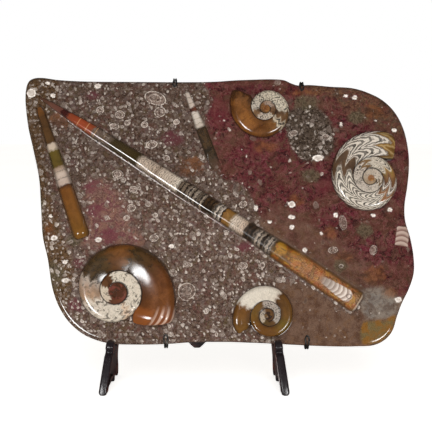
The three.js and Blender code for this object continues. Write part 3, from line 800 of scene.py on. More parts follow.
def long_shell_material():
    """Bands from the tip: brown, wine, orange-red, grey speckle, olive, cream with fine ribs, dark
    and gold chambers, then golden brown, and an inset row of curved chamber walls at the end."""
    material, tree, shader = new_material("long_shell_stone", IOR=1.55, Coat_Weight=0.8, Coat_Roughness=0.05)
    place, stone = in_stone(tree)
    own = mark(tree, "shell_place")
    along, side, across = parts_of(own)
    uneven = noise(place, 0.35, 3.0, 0.6)
    bent = uneven * 5.0 + (side * side * -2.6 + along - 2.0)
    tip_colour, tip_pale = bands(bent, LONG_LENGTH, LONG_TIP_BANDS)
    mouth_colour, mouth_pale = bands(bent, LONG_LENGTH, LONG_MOUTH_BANDS)
    late = between(bent, 182.5, 183.5)
    tint = blend(late, tip_colour, mouth_colour)
    pale = tip_pale * step("SUBTRACT", 1.0, late) + mouth_pale * late
    ribs = apart(step("FRACT", uneven * 0.9 + bent * 0.4), 0.5, 0.22, 0.44)
    colour = calcite(own, place, tint, pale, ribs * 0.75, between(bent, 60.0, 330.0))[0]
    # Dark chamber walls, close together in two stretches.
    walls = apart(step("FRACT", uneven * 0.5 + bent * 0.21), 0.5, 0.28, 0.14)
    close = stretch(bent, 182.0, 184.0, 239.0, 241.0) + stretch(bent, 268.0, 270.0, 304.0, 306.0)
    colour = blend(walls * (close * 0.85), colour, "140d08")
    colour = blend(stretch(bent, 68.0, 72.0, 90.0, 98.0) * 0.6, colour, stone)
    golden = between(bent, 304.0, 308.0)
    drift = channels_of(noise(place, 0.11, 4.0, 0.6, 1.0, "Color"))
    for share, code in zip(drift, ("a9791f", "8f3d12", "341d0b")):
        colour = blend(between(share, 0.5, 0.57) * 0.6 * golden, colour, code)
    # Pale veins across the orange-red part and through the golden part.
    vein = apart(noise(place, 0.28, 4.0, 0.7, 1.5), 0.5, 0.04, 0.01) * between(bent, 322.0, 340.0)
    cross = apart(step("FRACT", along * 0.09 - 0.12), 0.5, 0.06, 0.02)
    cross = cross * stretch(along, 42.0, 46.0, 70.0, 92.0)
    colour = blend(largest(vein, cross) * 0.6, colour, "c3986c")
    # The inset row of chamber walls: a strip that widens and clears towards its round end.
    past = largest(along - 399.0, 0.0)
    width = between(along, 362.0, 396.0) * 3.4 + 3.2
    off = across - 0.6
    off = uneven * 3.0 + (step("SQRT", off * off + past * past) - width)
    strip = between(off, 2.1, 1.1) * between(bent, 364.0, 374.0)
    arcs = step("FRACT", (across * across * 0.07 + (uneven * 3.0 + along)) * 0.19)
    inset = two_tone(arcs, 0.1, 0.8, "9c877a", "d8c9bc")
    inset = blend(between(arcs, 0.88, 0.99), inset, "5e4438")
    inset = blend(between(along, 394.0, 372.0) * 0.7, inset, "7d6e64")
    eye = apart(reach_of(along - 402.0, across), 2.4, 0.8, 0.2)
    colour = blend(strip, colour, blend(eye * 0.7, inset, "4a342a"))
    # Painted highlight: a pale line just inside the round end, where its rim catches the light.
    colour = blend(apart(along, 414.6, 1.3, 0.4) * 0.55, colour, "d3c2ae")
    # Painted shade: darker towards both sides of the shell, on its flanks.
    colour = blend(between(abs(side), 0.7, 0.96) * 0.6, colour, "21180f")
    body = between(abs(side), 1.0, 0.93) * between(along, 416.3, 415.5)
    duller = between(along, 225.0, 262.0)
    roughness, waves = polish(place, 0.06)
    finish(shader, blend(body, stone, colour), duller * 0.24 + roughness, waves)
    put(shader, {"Coat Weight": duller * -0.75 + 0.8})
    return material


def banded_material(name, stops, dullest, ribs_per_mm, clouds, fades=None):
    """A straight shell whose bands alone differ, and which may fade into the stone between two
    places along it."""
    material, tree, shader = new_material(name, IOR=1.55, Coat_Weight=0.8, Coat_Roughness=0.05)
    place, stone = in_stone(tree)
    own = mark(tree, "shell_place")
    along, side, _ = parts_of(own)
    bent = noise(place, 0.3, 3.0, 0.6) * 6.0 + (along - 3.0)
    tint, pale = bands(bent, float(stops[-1][0]), stops)
    walls = apart(step("FRACT", bent * ribs_per_mm), 0.5, 0.4, 0.48)
    colour = calcite(own, place, tint, pale, walls * 0.5, clouds)[0]
    # Painted shade: darker towards both sides of the shell, on its flanks.
    colour = blend(between(abs(side), 0.45, 0.95) * 0.65, colour, "24180c")
    body = between(abs(side), 1.0, 0.93)
    if fades:
        body = body * (between(bent, *fades) * -0.85 + 1.0)
    roughness, waves = polish(place, dullest)
    finish(shader, blend(body, stone, colour), roughness, waves)
    return material


straight_shell("long_straight_shell", LONG_SHELL, long_shell_material())
straight_shell("short_straight_shell", SHORT_SHELL, banded_material(
    "short_shell_stone", SHORT_BANDS, dullest=0.05, ribs_per_mm=0.12, clouds=0.35))
straight_shell("thin_straight_shell", THIN_SHELL, banded_material(
    "thin_shell_stone", THIN_BANDS, dullest=0.12, ribs_per_mm=0.16, clouds=0.7, fades=(72.0, 100.0)))

# ========================================
# The coiled shells: four goniatites standing in relief, each one tube wound in a flat
# spiral, its chambers filled with amber or cream calcite and its body chamber at the mouth.
# ========================================

COIL_END = 1060.0  # degrees from the mouth to the pole
COIL_ROWS = 580
COIL_START_ROWS = 16
COIL_ACROSS = 38
INNER_WHORLS = (300.0, 420.0)  # between these degrees the looks change to the inner whorls'
BANDED_TURNS = 900.0
SHALLOW_GROOVE = [(100, 0.97), (380, 0.98)]

# Angles are in degrees from the mouth inwards, lengths in millimetres. Paired shares are for the
# outer and the inner whorls, and the two middle colours mix at the pole.
COILED_SHELLS = [
    {
        "name": "large_coiled_shell", "pole": (-111.1, 59.3), "radius": 69.8, "growth": 2.3,
        "mouth": -48, "inwards": 1, "closes": 14, "height": 10, "slant": 14, "ribs": 0.55, "falls": 0.574,
        "groove": [(60, 0.92), (92, 0.92), (112, 1.04), (148, 1.02), (166, 0.87), (196, 0.9),
                   (230, 0.97), (380, 1)],
        "zigzag": 9.0, "every": 17.0, "lines": 0.15, "patches": 0.8, "folds": 5.0,
        "squiggles": (0.6, 0.5), "dots": (0.0, 0.15), "clouds": 0.55, "knob": 9.0,
        # For the large coil the paler middle colour is a painted pinkish sheen over the dark red-brown of
        # its filled pole.
        "middle": ("43230f", "6e362b"),
        "stops": [
            (0, "6e3c1a"), (40, "6b3c18"), (66, "5a3014"), (88, "42290f"), (114, "33250f"), (126, "6b3f14"),
            (146, "5f3812"), (160, "3a2c16"), (203, "3a2d1e"), (208, "b5a596", 0.9), (222, "a08672", 0.6),
            (240, "a58468", 0.5), (255, "cdbfae", 1), (330, "d0c4b2", 1), (345, "cbab8e", 0.9),
            (360, "d0c3b0", 1), (517, "cfc3b1", 1), (523, "4d2c14"), (568, "4f2e16"), (574, "c8b9a4", 1),
            (640, "c4b29c", 1), (646, "4d2612"), (700, "5c2818"), (730, "7a4238"), (770, "4a2814"),
            (900, "4a2814")],
    },
    {
        "name": "bottom_coiled_shell", "pole": (52.6, 32.7), "radius": 41, "growth": 2,
        "mouth": 212, "inwards": -1, "closes": 30, "height": 7, "slant": 0, "ribs": 0.0, "falls": 0.08,
        "groove": SHALLOW_GROOVE,
        "zigzag": 6.0, "every": 24.0, "lines": 0.05, "patches": 0.15, "folds": 4.0,
        "squiggles": (0.25, 1.0), "dots": (0.12, 0.95), "clouds": 0.4, "knob": 4.4,
        "middle": ("2a180c", "6a4a20"),
        "stops": [
            (0, "6b4a1e"), (50, "663f14"), (58, "d6ccbc", 1), (140, "d4c9b8", 1), (148, "c0b2a2", 0.9),
            (154, "553614"), (215, "634216"), (240, "655012"), (285, "6c4516"), (340, "674012"),
            (400, "6b4c18"), (455, "5e411c"), (465, "a89b90", 1), (612, "a3988b", 1), (622, "543718"),
            (690, "4f3c1e"), (698, "b3a38e", 1), (790, "a89a8c", 1), (820, "5e4024"), (900, "55381c")],
    },
    {
        "name": "top_coiled_shell", "pole": (51.3, 259.3), "radius": 43, "growth": 2.385,
        "mouth": 143, "inwards": 1, "closes": 8, "height": 7, "slant": 4, "ribs": 0.0, "falls": 0.08,
        "groove": SHALLOW_GROOVE,
        "zigzag": 10.0, "every": 15.0, "lines": 0.4, "patches": 1.0, "folds": 4.0,
        "squiggles": (1.0, 0.9), "dots": (0.85, 0.85), "clouds": 0.95, "knob": 3.4,
        "middle": ("5c3414", "94602a"),
        "stops": [
            (0, "45270f"), (34, "6a3c0e"), (72, "804c16"), (110, "60340d"), (152, "6e441a"), (158, "5a4228"),
            (163, "b8a890", 1), (176, "b9a991", 1), (182, "5a402a"), (205, "523a26"), (212, "c4b8a4", 1),
            (300, "bcb09a", 1), (398, "b0a496", 1), (412, "5f452c"), (436, "6a4d34"), (444, "b0a090", 1),
            (527, "b3a593", 1), (536, "5d4026"), (586, "5a4030"), (600, "a08a78", 0.9),
            (680, "8a7260", 0.9), (700, "5e3c1e"), (900, "6e4a22")],
    },
    {
        "name": "right_coiled_shell", "pole": (165.2, 182.2), "radius": 56.5, "growth": 2.18,
        "mouth": 49, "inwards": 1, "closes": 20, "height": 8, "slant": 8, "ribs": 0.0, "falls": 0.08,
        "groove": SHALLOW_GROOVE,
        "zigzag": 28.0, "every": 15.0, "lines": 0.85, "patches": 1.0, "folds": 3.5,
        "squiggles": (0.3, 0.8), "dots": (0.1, 0.4), "clouds": 0.5, "knob": 3.6,
        "middle": ("7a4a20", "b08046"),
        "stops": [
            # The pale stop at 10 degrees is a painted highlight on the rounded lobe at the mouth.
            (0, "6b4a20"), (6, "8a6a34"), (10, "b59d70", 0.3), (16, "8d6a30"), (21, "6a4a22"),
            (26, "ccc2b4", 1), (88, "cbbfb0", 1), (93, "54402e"), (119, "4f3a2a"), (125, "cdc2b2", 1),
            (253, "d2c7b7", 1), (258, "80553a"), (272, "7c5636"), (277, "ccc0b2", 1), (297, "c7b9aa", 1),
            (302, "5e3f2a"), (325, "805a34"), (338, "85692f"), (347, "c8bba8", 1), (412, "c8bcaa", 1),
            (420, "6b5030"), (436, "6b5030"), (442, "bcae9f", 1), (632, "c3b7a8", 1), (642, "57452c"),
            (652, "57452c"), (660, "c3b5a4", 1), (740, "bbac9a", 1), (820, "b0a08c", 0.9),
            (900, "9c8468", 0.6)],
    },
]


def coil_material(shell):
    """Bands round the coil with jagged edges, folded chamber lines across the pale ones, amber
    clouds in the rest, and a dark line where one whorl meets the next."""
    material, tree, shader = new_material(
        shell["name"] + "_stone", IOR=1.5, Coat_Weight=0.9, Coat_Roughness=0.2)
    place, stone = in_stone(tree)
    own = mark(tree, "shell_place")
    angle, side, reach = parts_of(own)
    inwards = between(angle, *INNER_WHORLS)

    def share(outer, inner):
        return inwards * (inner - outer) + outer

    fold = abs(step("SINE", side * shell["folds"] + 0.5))
    wander = noise(place, 0.25, 4.0, 0.62)
    folded = fold * shell["zigzag"] + (angle - shell["zigzag"] / 2)
    folded = (wander - 0.5) * 22.0 + folded
    tint, pale = bands(folded, BANDED_TURNS, shell["stops"])
    line = apart(step("FRACT", folded / shell["every"]), 0.5, 0.34, 0.18)
    patchy = between(noise(place, 0.16, 3.0, 0.6), 0.48, 0.58) * shell["patches"]
    line = line * largest(patchy, share(shell["lines"], 0.4 * shell["lines"]))
    squiggle = apart(noise(place, 0.34, 2.0, 0.5, 0.6), 0.5, 0.05, 0.02)
    squiggle = squiggle * between(noise(place, 0.45), 0.5, 0.58) * share(*shell["squiggles"])
    dots = between(noise(place, 0.75, 2.0, 0.5, 0.5), 0.56, 0.62) * share(*shell["dots"])
    colour = calcite(own, place, tint, pale, largest(line, squiggle, dots), shell["clouds"])[0]
    # Painted shade: the amber darkens towards both edges of each whorl, on its flanks.
    colour = blend(apart(side, 0.1, 0.35, 1.0) * (pale * -0.5 + 0.5), colour, "2a1608")
    colour = blend(between(inwards * 0.08 + abs(side), 0.86, 0.98) * 0.85, colour, "1c130c")
    knob = between(wander * 1.6 + reach, shell["knob"] + 1.4, shell["knob"] + 0.2)
    middle = two_tone(noise(place, 0.2), 0.5, 0.66, *shell["middle"])
    colour = blend(knob * 0.9, colour, middle)
    if shell["ribs"]:
        # Stripes across the mouth's ribs: pinkish shell colour, the pale stripes partly painted highlights
        # along the ribs.
        ridge = two_tone(step("SINE", side * 21.0), -0.4, 0.8, "7a4428", "d0ae98")
        ridged = between(angle, 30.0, 14.0) * between(side, -0.1, 0.2)
        colour = blend(ridged * 0.7, colour, ridge)
        tongue = between(angle, 26.0, 16.0) * between(side, 0.05, -0.15)
        colour = blend(tongue * 0.7, colour, "8a4c1e")
    body = between(side * mark(tree, "free_edge", "Fac"), 1.0, 0.95)
    roughness, waves = polish(place, 0.16)
    finish(shader, blend(body, stone, colour), roughness, waves)
    return material


def quarter_round(share):
    """The rise of a quarter circle over a share of its width."""
    share = ramp(share, 0, 1)
    return np.sqrt(share * (2 - share))


def coiled_shell(shell):
    """A bow carried inwards along a spiral whose radius falls by the growth in each turn. At the
    mouth its width and height start as a quarter round; an edge that meets the next whorl stays
    above the face, at a share of that whorl's height. The last turn is filled in to the pole."""
    growth, height, closes = shell["growth"], shell["height"], shell["closes"]
    first = closes * (1 - np.cos(np.linspace(0, math.pi / 2, COIL_START_ROWS, endpoint=False)))
    angle = np.concatenate([first, np.linspace(closes, COIL_END, COIL_ROWS)])[:, None]
    filled = ramp(angle, 650, 700)
    filled = filled * filled * (3 - 2 * filled)

    def rise(at):
        turns = shell["falls"] * np.minimum(at, 360) / 360 + 0.06 * np.maximum(at - 360, 0) / 360
        return height * growth ** -turns * (0.1 + 0.9 * quarter_round((at + 0.15) / closes))

    def seam_level(at):
        return np.interp(at, *np.array(shell["groove"], float).T)

    outer = shell["radius"] * growth ** (-angle / 360)
    inner = outer / growth * (1 - filled) - 0.6 * filled
    half = (outer - inner) / 2 * (0.5 + 0.5 * quarter_round((angle + 0.15) / closes))
    side = np.linspace(1.12, -1.0, COIL_ACROSS)[None]
    far = np.abs(side)
    free = ramp(angle, 372, 360)
    outer_level = (1 - free) * seam_level(angle - 360) * rise(angle)
    inner_level = seam_level(angle) * rise(angle + 360) * ramp(angle, -4, 6)
    inner_level = inner_level + (rise(angle) - inner_level) * filled
    level = np.where(side > 0, outer_level, inner_level)
    steep = 1.02 * (1 - far ** 4)
    steep = np.where(steep > 0, np.abs(steep) ** 0.62, steep)
    bow = np.where(side > 0, free * steep + (1 - free) * (1 - far ** 2), 1 - far ** 1.5)
    top = level + (rise(angle) - level) * bow
    eased = 0.5 * (top + np.sqrt(top ** 2 + 0.3 ** 2)) - 0.04
    out = np.where(side > 0, eased, top)
    out = np.where(side > 1.06, -1.0, np.minimum(out, height))
    ribs = shell["ribs"] * np.sin(10.5 * side - 0.03 * angle) * ramp(angle, 34, 0)
    out = np.minimum(out + ribs * ramp(side, -0.1, 0.15) * ramp(side, 1, 5 / 6), height)
    slanted = angle + shell["slant"] * side * np.exp(-angle / 40)
    slanted = np.concatenate([slanted, slanted[:, ::-1]], axis=1)
    side = np.concatenate([side, side[:, ::-1]], axis=1)
    reach = (outer + inner) / 2 + side * half * 1.03
    heading = np.radians(shell["mouth"] + shell["inwards"] * slanted)
    u = shell["pole"][0] + reach * np.cos(heading)
    v = shell["pole"][1] + reach * np.sin(heading)
    material = coil_material(shell)
    piece = shell_piece(shell["name"], u, v, out, (angle, side, reach), material, free_edge=free)
    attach(piece, "root")
    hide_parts("slab")


for coil in COILED_SHELLS:
    coiled_shell(coil)

# ========================================
# The hanger's wires: dark steel wire bent into hairpin hooks that grip the slab's edge, two
# at the top and two at the bottom, each pair drawn to the corners of a bar on the back.
# ========================================

WIRE_RADIUS = 0.85
WIRE_BACK = SLAB_HALF + 0.3 + WIRE_RADIUS
WIRE_FACE = -WIRE_BACK
HANGER_CENTRE = 20.0
TOP_HOOKS = [(-49, 290.5), (91, 286.6)]
BOTTOM_HOOKS = [(-58, 2.0), (95, 0.9)]
UPPER_CORNER = (36, 204)
LOWER_CORNER = (42, 141)
HOOK_LENGTH = 26.0
TOP_REACH = 6.5  # how far the hooks reach over the face
BOTTOM_REACH = 10.5
BEND = 2.2  # where the wire starts to round each corner


def smooth_open(corners, per_span):
    """An open smooth curve through its corners, its ends led on straight."""
    corners = np.asarray(corners, float)
    led = np.vstack([2 * corners[0] - corners[1], corners, 2 * corners[-1] - corners[-2]])
    whole = spans(*(led[k:len(led) - 3 + k, None] for k in range(4)), per_span)
    return np.vstack([whole, corners[-1]])


def wire_rings(path, radius, sides):
    """Circles across a path. Each circle's first spoke is the one before it, turned the least
    that keeps it square to the path; the two ends are drawn in to round them."""
    tangent = np.gradient(path, axis=0)
    tangent /= np.linalg.norm(tangent, axis=1, keepdims=True)
    spoke = np.cross(tangent[0], [0.31, 0.22, 0.92])
    spokes = []
    for heading in tangent:
        spoke = spoke - np.dot(spoke, heading) * heading
        spoke = spoke / np.linalg.norm(spoke)
        spokes.append(spoke)
    spokes = np.array(spokes)
    other = np.cross(tangent, spokes)
    turn = np.linspace(0, 2 * math.pi, sides, endpoint=False)[None, :, None]
    size = np.full(len(path), radius)
    size[0] = size[-1] = 0.55 * radius
    circle = np.cos(turn) * spokes[:, None] + np.sin(turn) * other[:, None]
    return path[:, None] + size[:, None, None] * circle


def wires_piece(name, paths, radius, sides, material, node):
    """Several wires as one piece, each a closed tube; the length along it is kept for wear."""
    points, faces, lengths = [], [], []
    for path in paths:
        path = np.asarray(path, float)
        at = sides * sum(len(rings) for rings in points) + np.arange(len(path) * sides).reshape(-1, sides)
        faces += quads_between(at).tolist() + [at[0][::-1].tolist(), at[-1].tolist()]
        points.append(wire_rings(path, radius, sides))
        steps = np.linalg.norm(np.diff(path, axis=0), axis=1)
        lengths.append(np.repeat(np.concatenate([[0], np.cumsum(steps)]), sides))
    u, depth, v = np.concatenate(points).reshape(-1, 3).T
    piece = new_piece(name, within(on_slab(u, depth, v), node), faces, material,
                      {"wire_length": np.concatenate(lengths)[:, None]})
    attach(piece, "root")
    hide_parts(node)


def hook_path(u, edge, outwards, reach):
    """Up the back, over the edge, down the face to a narrow loop and back beside itself."""
    strand = [
        (0.9, WIRE_BACK, edge - outwards * HOOK_LENGTH), (1.15, WIRE_BACK, edge - outwards * 6),
        (1.15, WIRE_BACK - 1.2, edge + outwards * 0.8), (1.15, WIRE_BACK - 6, edge + outwards * 3.2),
        (1.15, WIRE_FACE + 6, edge + outwards * 3.2), (1.15, WIRE_FACE + 1, edge + outwards * 0.4),
        (1.9, WIRE_FACE, edge - outwards * (reach - 3)),
    ]
    left = [(u - half, depth, v) for half, depth, v in strand]
    right = [(u + half, depth, v) for half, depth, v in reversed(strand)]
    return smooth_open(left + [(u, WIRE_FACE, edge - outwards * reach)] + right, 9)


@node_group("blackened_steel", {"Place": "v", "Rubbed": "f"},
            {"Colour": "c", "Roughness": "f", "Height": "f"})
def blackened_steel(place, rubbed):
    """Blackened steel: a dark skin rubbed through to grey metal here and there."""
    worn = noise(place, 160.0, 4.0, 0.65)
    fine = noise(place, 900.0, 2.0)
    bare = between(worn, 0.5, 0.66) * rubbed
    return blend(bare, "3a3836", "8c8882"), fine * 0.2 + (worn * 0.25 + 0.15), fine * 0.4 + worn


def on_piece(tree):
    """A point's place on its own piece."""
    return get("ShaderNodeTexCoord", {}, "Object", tree)


def steel_material(name, rubbed, metallic):
    """Steel wire, its dark skin rubbed off by a share."""
    material, tree, shader = new_material(name, Metallic=metallic)
    skin = blackened_steel(on_piece(tree), rubbed)
    finish(shader, *skin, strength=0.3, distance=0.0001)
    return material


def hanger_half(name, hooks, outwards, reach, corner, node):
    """Two hooks, the wires from them to two corners, and the bar between the corners."""
    half, level = corner
    left, right = ((HANGER_CENTRE + side * half, WIRE_BACK, level) for side in (-1, 1))
    paths = [hook_path(u, edge, outwards, reach) for u, edge in hooks]
    roots = [(u, WIRE_BACK, edge - outwards * (HOOK_LENGTH - 2)) for u, edge in hooks]
    bends = np.array([roots[0], left, right, roots[1]], float)
    bar = [bends[0]]
    for before, bend, after in zip(bends, bends[1:], bends[2:]):
        back = (before - bend) / np.linalg.norm(before - bend)
        ahead = (after - bend) / np.linalg.norm(after - bend)
        bar += [bend + BEND * back, bend + BEND / 2 * back + ahead, bend + BEND * ahead]
    bar.append(bends[-1])
    paths.append(np.vstack([np.linspace(a, b, 12, endpoint=False) for a, b in zip(bar, bar[1:])] + bar[-1:]))
    wires_piece(name, paths, WIRE_RADIUS, 12, BLACK_WIRE, node)


BLACK_WIRE = steel_material("blackened_wire", 0.6, 0.75)
hanger_half("upper_hanger_wire", TOP_HOOKS, 1, TOP_REACH, UPPER_CORNER, "hanger_upper_wire")
hanger_half("lower_hanger_wire", BOTTOM_HOOKS, -1, BOTTOM_REACH, LOWER_CORNER, "hanger_lower_wire")

# ========================================
# The hanger's springs: two close-wound steel springs on the back, hooked over the corners
# of the upper and the lower wire, which draw the hooks together round the slab.
# ========================================

SPRING_RADIUS = 2.6
SPRING_WIRE = 0.4
SPRING_BODY = 50.8
SPRING_TURNS = 50
SPRING_DEPTH = SLAB_HALF + 0.3 + 3.0
SPRING_STEM = 3.5
# How the stem curls over the corner's wire: along the spring past the corner, and outwards.
SPRING_CURL = [(0.2, 0.0), (0.2, -0.1), (-0.7, -0.35), (-1.35, -1.1), (-1.3, -2.0)]


def spring_path(side):
    """A helix round the line between two corners, its radius drawn in at both ends to a stem
    that lies on the line and curls over the corner's wire."""
    lower, upper = (np.array([HANGER_CENTRE + side * half, SPRING_DEPTH, level])
                    for half, level in (LOWER_CORNER, UPPER_CORNER))
    whole = np.linalg.norm(upper - lower)
    axis = (upper - lower) / whole
    outwards = np.array([0.0, 1.0, 0.0])
    sidewise = np.cross(axis, outwards)
    t = np.linspace(0, 1, SPRING_TURNS * 14)[:, None]
    run = whole / 2 + (t - 0.5) * SPRING_BODY
    near_end = np.minimum(t, 1 - t) * SPRING_TURNS
    reach = SPRING_RADIUS * np.sqrt(np.clip(near_end / 0.8, 0, 1))
    turn = 2 * math.pi * SPRING_TURNS * t
    helix = lower + run * axis + reach * (np.cos(turn) * sidewise + np.sin(turn) * outwards)
    start = [lower + along * axis + out * outwards for along, out in SPRING_CURL[::-1]]
    end = [upper - along * axis + out * outwards for along, out in SPRING_CURL]
    lead_in = smooth_open(start + [lower + SPRING_STEM * axis], 6)
    lead_out = smooth_open([upper - SPRING_STEM * axis] + end, 6)
    return np.vstack([lead_in, helix, lead_out])


SPRING_STEEL = steel_material("spring_steel", 1.0, 1.0)
for side_name, side in (("left", -1), ("right", 1)):
    wires_piece("spring_" + side_name, [spring_path(side)], SPRING_WIRE, 8, SPRING_STEEL,
                "hanger_spring_" + side_name)

# ========================================
# The easel's boards: two boards of dark lacquered wood, sawn to a hook, an upright and two
# feet, their edges rounded over. They lean together and splay at the feet.
# ========================================

EASEL_CENTRE = -27.0
BOARD_THICKNESS = 8.8
BOARD_ROUNDING = 2.2
BOARD_OFFSET = 90.0
BOARD_LEVEL = 50.0
BOARD_CAMBER = math.radians(7.6)
BOARD_TOE_IN = math.radians(3)
BOARD_STEPS = 460
BOARD_GRAIN = (900.0, 260.0, 60.0)  # how close the grain lies along each direction
SLOT_HALF = 11.4  # of the slot for the slab
SLOT_FLOOR = 1.5
FOOT_ROUNDING = 3.6
FOOT_END = -1.2


def beside_slab(depth, v):
    """A point beside the slab, as distance forwards of its foot and height above the floor."""
    return (-(depth * math.cos(LEAN) + v * math.sin(LEAN)),
            SLAB_LIFT - depth * math.sin(LEAN) + v * math.cos(LEAN))


def drawn(start, strokes):
    """A line drawn from a start through strokes of one, two or three points: a straight line, or a
    Bezier curve with one or two handles."""
    line = [np.array([start], float)]
    t = np.linspace(0, 1, 40)[1:, None]
    for stroke in strokes:
        layers = [line[-1][-1] + 0 * t] + [np.array(point, float) + 0 * t for point in stroke]
        while len(layers) > 1:
            layers = [(1 - t) * a + t * b for a, b in zip(layers, layers[1:])]
        line.append(layers[0])
    return np.vstack(line)


def softened(curve, width):
    """A closed, evenly spaced curve with its corners rounded: each point is the mean of its
    neighbours, weighted by a bell curve of the given width in points."""
    at = np.arange(len(curve))
    bell = np.exp(-0.5 * (np.minimum(at, len(curve) - at) / width) ** 2)
    bell /= bell.sum()
    return np.real(np.fft.ifft(np.fft.fft(curve, axis=0) * np.fft.fft(bell)[:, None], axis=0))


def board_profile():
    """Side view of a board, forwards and up: front foot, hook, slot for the slab, upright, rear
    foot and the arch between the feet."""
    line = drawn((17, -4), [
        [(31, -4)], [(32, 10), (25, 28), (21.5, 38)], [(20, 42.5), (16.5, 42)], [(13.6, 43), (15.4, 44.8)],
        [(21.5, 46), (20.6, 51)], [(18.5, 56.6), (13.5, 56)], [beside_slab(-SLOT_HALF, 6.5)],
        [beside_slab(-SLOT_HALF, SLOT_FLOOR)], [beside_slab(SLOT_HALF, SLOT_FLOOR)],
        [beside_slab(SLOT_HALF, 117)], [beside_slab(SLOT_HALF, 124), beside_slab(18, 124)],
        [beside_slab(26, 124), beside_slab(26, 116)], [(-42, 110), (-30, 66), (-31, 44)],
        [(-34, 26), (-58, 18), (-63, 5)], [(-63, -4)], [(-33, -4)],
        [(-31, 8), (-22, 9)], [(5, 12)], [(15, 12), (17, -4)]])
    return softened(evenly(line[:-1], BOARD_STEPS), 0.7)


def plate_rings(profile, thickness, rounding):
    """Rings across a plate's thickness: its profile drawn in along its normals near both faces,
    as a quarter round."""
    inset, level = rounded_sides(rounding, -thickness / 2, thickness / 2, 6)
    flat = profile - inset[:, None, None] * outward(profile)
    return flat[..., 0], np.broadcast_to(level[:, None], flat.shape[:2]), flat[..., 1]


@node_group("dark_lacquer", {"Place": "v", "Along grain": "v", "Thin": "f"},
            {"Colour": "c", "Roughness": "f", "Height": "f"})
def dark_lacquer(place, along_grain, thin):
    """Dark lacquer over red-brown wood: grain drawn out along the board, dark pores, and lacquer
    that is thinner on broad faces, more so here and there."""
    grain = noise(along_grain, 1.0, 4.0, 0.6, 0.4)
    pores = noise(along_grain, 3.6, 2.0, 0.7)
    smear = noise(place, 60.0, 3.0)
    shown = between(smear, 0.38, 0.62) * thin + thin * 0.35
    colour = blend(shown, "211a1d", two_tone(grain, 0.38, 0.62, "3a1a12", "6e3624"))
    colour = blend(between(pores, 0.56, 0.7) * 0.35, colour, "120c0a")
    return colour, smear * 0.2 + 0.2, pores * 0.5 + grain


def lacquer_material(name, grain_scale, thin):
    """Lacquered wood with its grain along one direction, and how thin the lacquer is."""
    material, tree, shader = new_material(name, Coat_Weight=0.3, Coat_Roughness=0.12)
    place = on_piece(tree)
    along_grain = get("ShaderNodeMapping", {"Vector": place, "Scale": grain_scale})
    skin = dark_lacquer(place, along_grain, mark(tree, "broad_face", "Fac") * thin)
    finish(shader, *skin, strength=0.3, distance=0.0003)
    return material


def rotated(x, y, angle):
    """A point's two coordinates after a turn about the origin, from the first to the second."""
    return x * math.cos(angle) - y * math.sin(angle), x * math.sin(angle) + y * math.cos(angle)


def easel_plate(name, x, y, z, broad, material, node):
    """A lacquered plate from its rings, in millimetres from the middle of the footprint."""
    rings = np.stack([x + EASEL_CENTRE + SLAB_SHIFT[0], y + SLAB_SHIFT[1], z], -1) * MM
    marks = {"broad_face": broad.astype(float)}
    return closed_piece(name, within(rings, node), material, marks, flat_ends=True)


def board(name, side, material, node):
    """A plate turned about the upright for the toe-in, then about the hook's level for the camber.
    The feet narrow to a round end and stand level on the floor."""
    forwards, x, z = plate_rings(board_profile(), BOARD_THICKNESS, BOARD_ROUNDING)
    lift = np.clip(z, FOOT_END, FOOT_END + FOOT_ROUNDING) - FOOT_END
    most = BOARD_THICKNESS / 2 - FOOT_ROUNDING + np.sqrt(FOOT_ROUNDING ** 2 - (FOOT_ROUNDING - lift) ** 2)
    x = x * most / (BOARD_THICKNESS / 2)
    broad = np.abs(x) > BOARD_THICKNESS / 2 - 0.25
    x, y = rotated(x, -forwards, side * BOARD_TOE_IN)
    x, z = rotated(x, z - BOARD_LEVEL, side * BOARD_CAMBER)
    x = x + side * BOARD_OFFSET
    piece = easel_plate(name, x, y, np.maximum(z + BOARD_LEVEL, 0), broad, material, node)
    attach(piece, "root")
    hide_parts(node)


BOARD_LACQUER = lacquer_material("board_lacquer", BOARD_GRAIN, 0.8)
board("board_left", -1, BOARD_LACQUER, "easel_board_left")
board("board_right", 1, BOARD_LACQUER, "easel_board_right")

# ========================================
# The easel's rail: one lacquered bar glued between the boards behind the slab, with a small
# rounded drop carved under its middle.
# ========================================

RAIL_FRONT = 19.5
RAIL_THICKNESS = 8.5
RAIL_ROUNDING = 1.2
RAIL_BOTTOM = 47.5
RAIL_TOP = 73.0
RAIL_STEPS = 480
RAIL_GRAIN = (60.0, 260.0, 900.0)
JOINT = 0.3
DROP_MIDDLE = 2.3
DROP_SHOULDER = 9.6
DROP_TIP = 3.0
DROP_LEVEL = 41.0


def half_span(height):
    """Half the clear width between the boards at a height, less the joint."""
    toe_in = (RAIL_FRONT + RAIL_THICKNESS) * math.tan(BOARD_TOE_IN)
    middle = BOARD_OFFSET - toe_in - (height - BOARD_LEVEL) * math.tan(BOARD_CAMBER)
    return middle - BOARD_THICKNESS / 2 / math.cos(BOARD_CAMBER) - JOINT


def rail_profile():
    """Front view of the rail, right and up: a bar with slanted ends and a drop with hollow
    shoulders and a short flat tip."""
    low, high = half_span(RAIL_BOTTOM), half_span(RAIL_TOP)
    line = drawn((-low, RAIL_BOTTOM), [
        [(-high, RAIL_TOP)], [(high, RAIL_TOP)], [(low, RAIL_BOTTOM)],
        [(DROP_MIDDLE + DROP_SHOULDER, RAIL_BOTTOM)],
        [(DROP_MIDDLE + 6.9, 44.2), (DROP_MIDDLE + DROP_TIP, DROP_LEVEL)],
        [(DROP_MIDDLE - DROP_TIP, DROP_LEVEL)],
        [(DROP_MIDDLE - 6.9, 44.2), (DROP_MIDDLE - DROP_SHOULDER, RAIL_BOTTOM)], [(-low, RAIL_BOTTOM)]])
    return softened(evenly(line[:-1], RAIL_STEPS), 0.8)


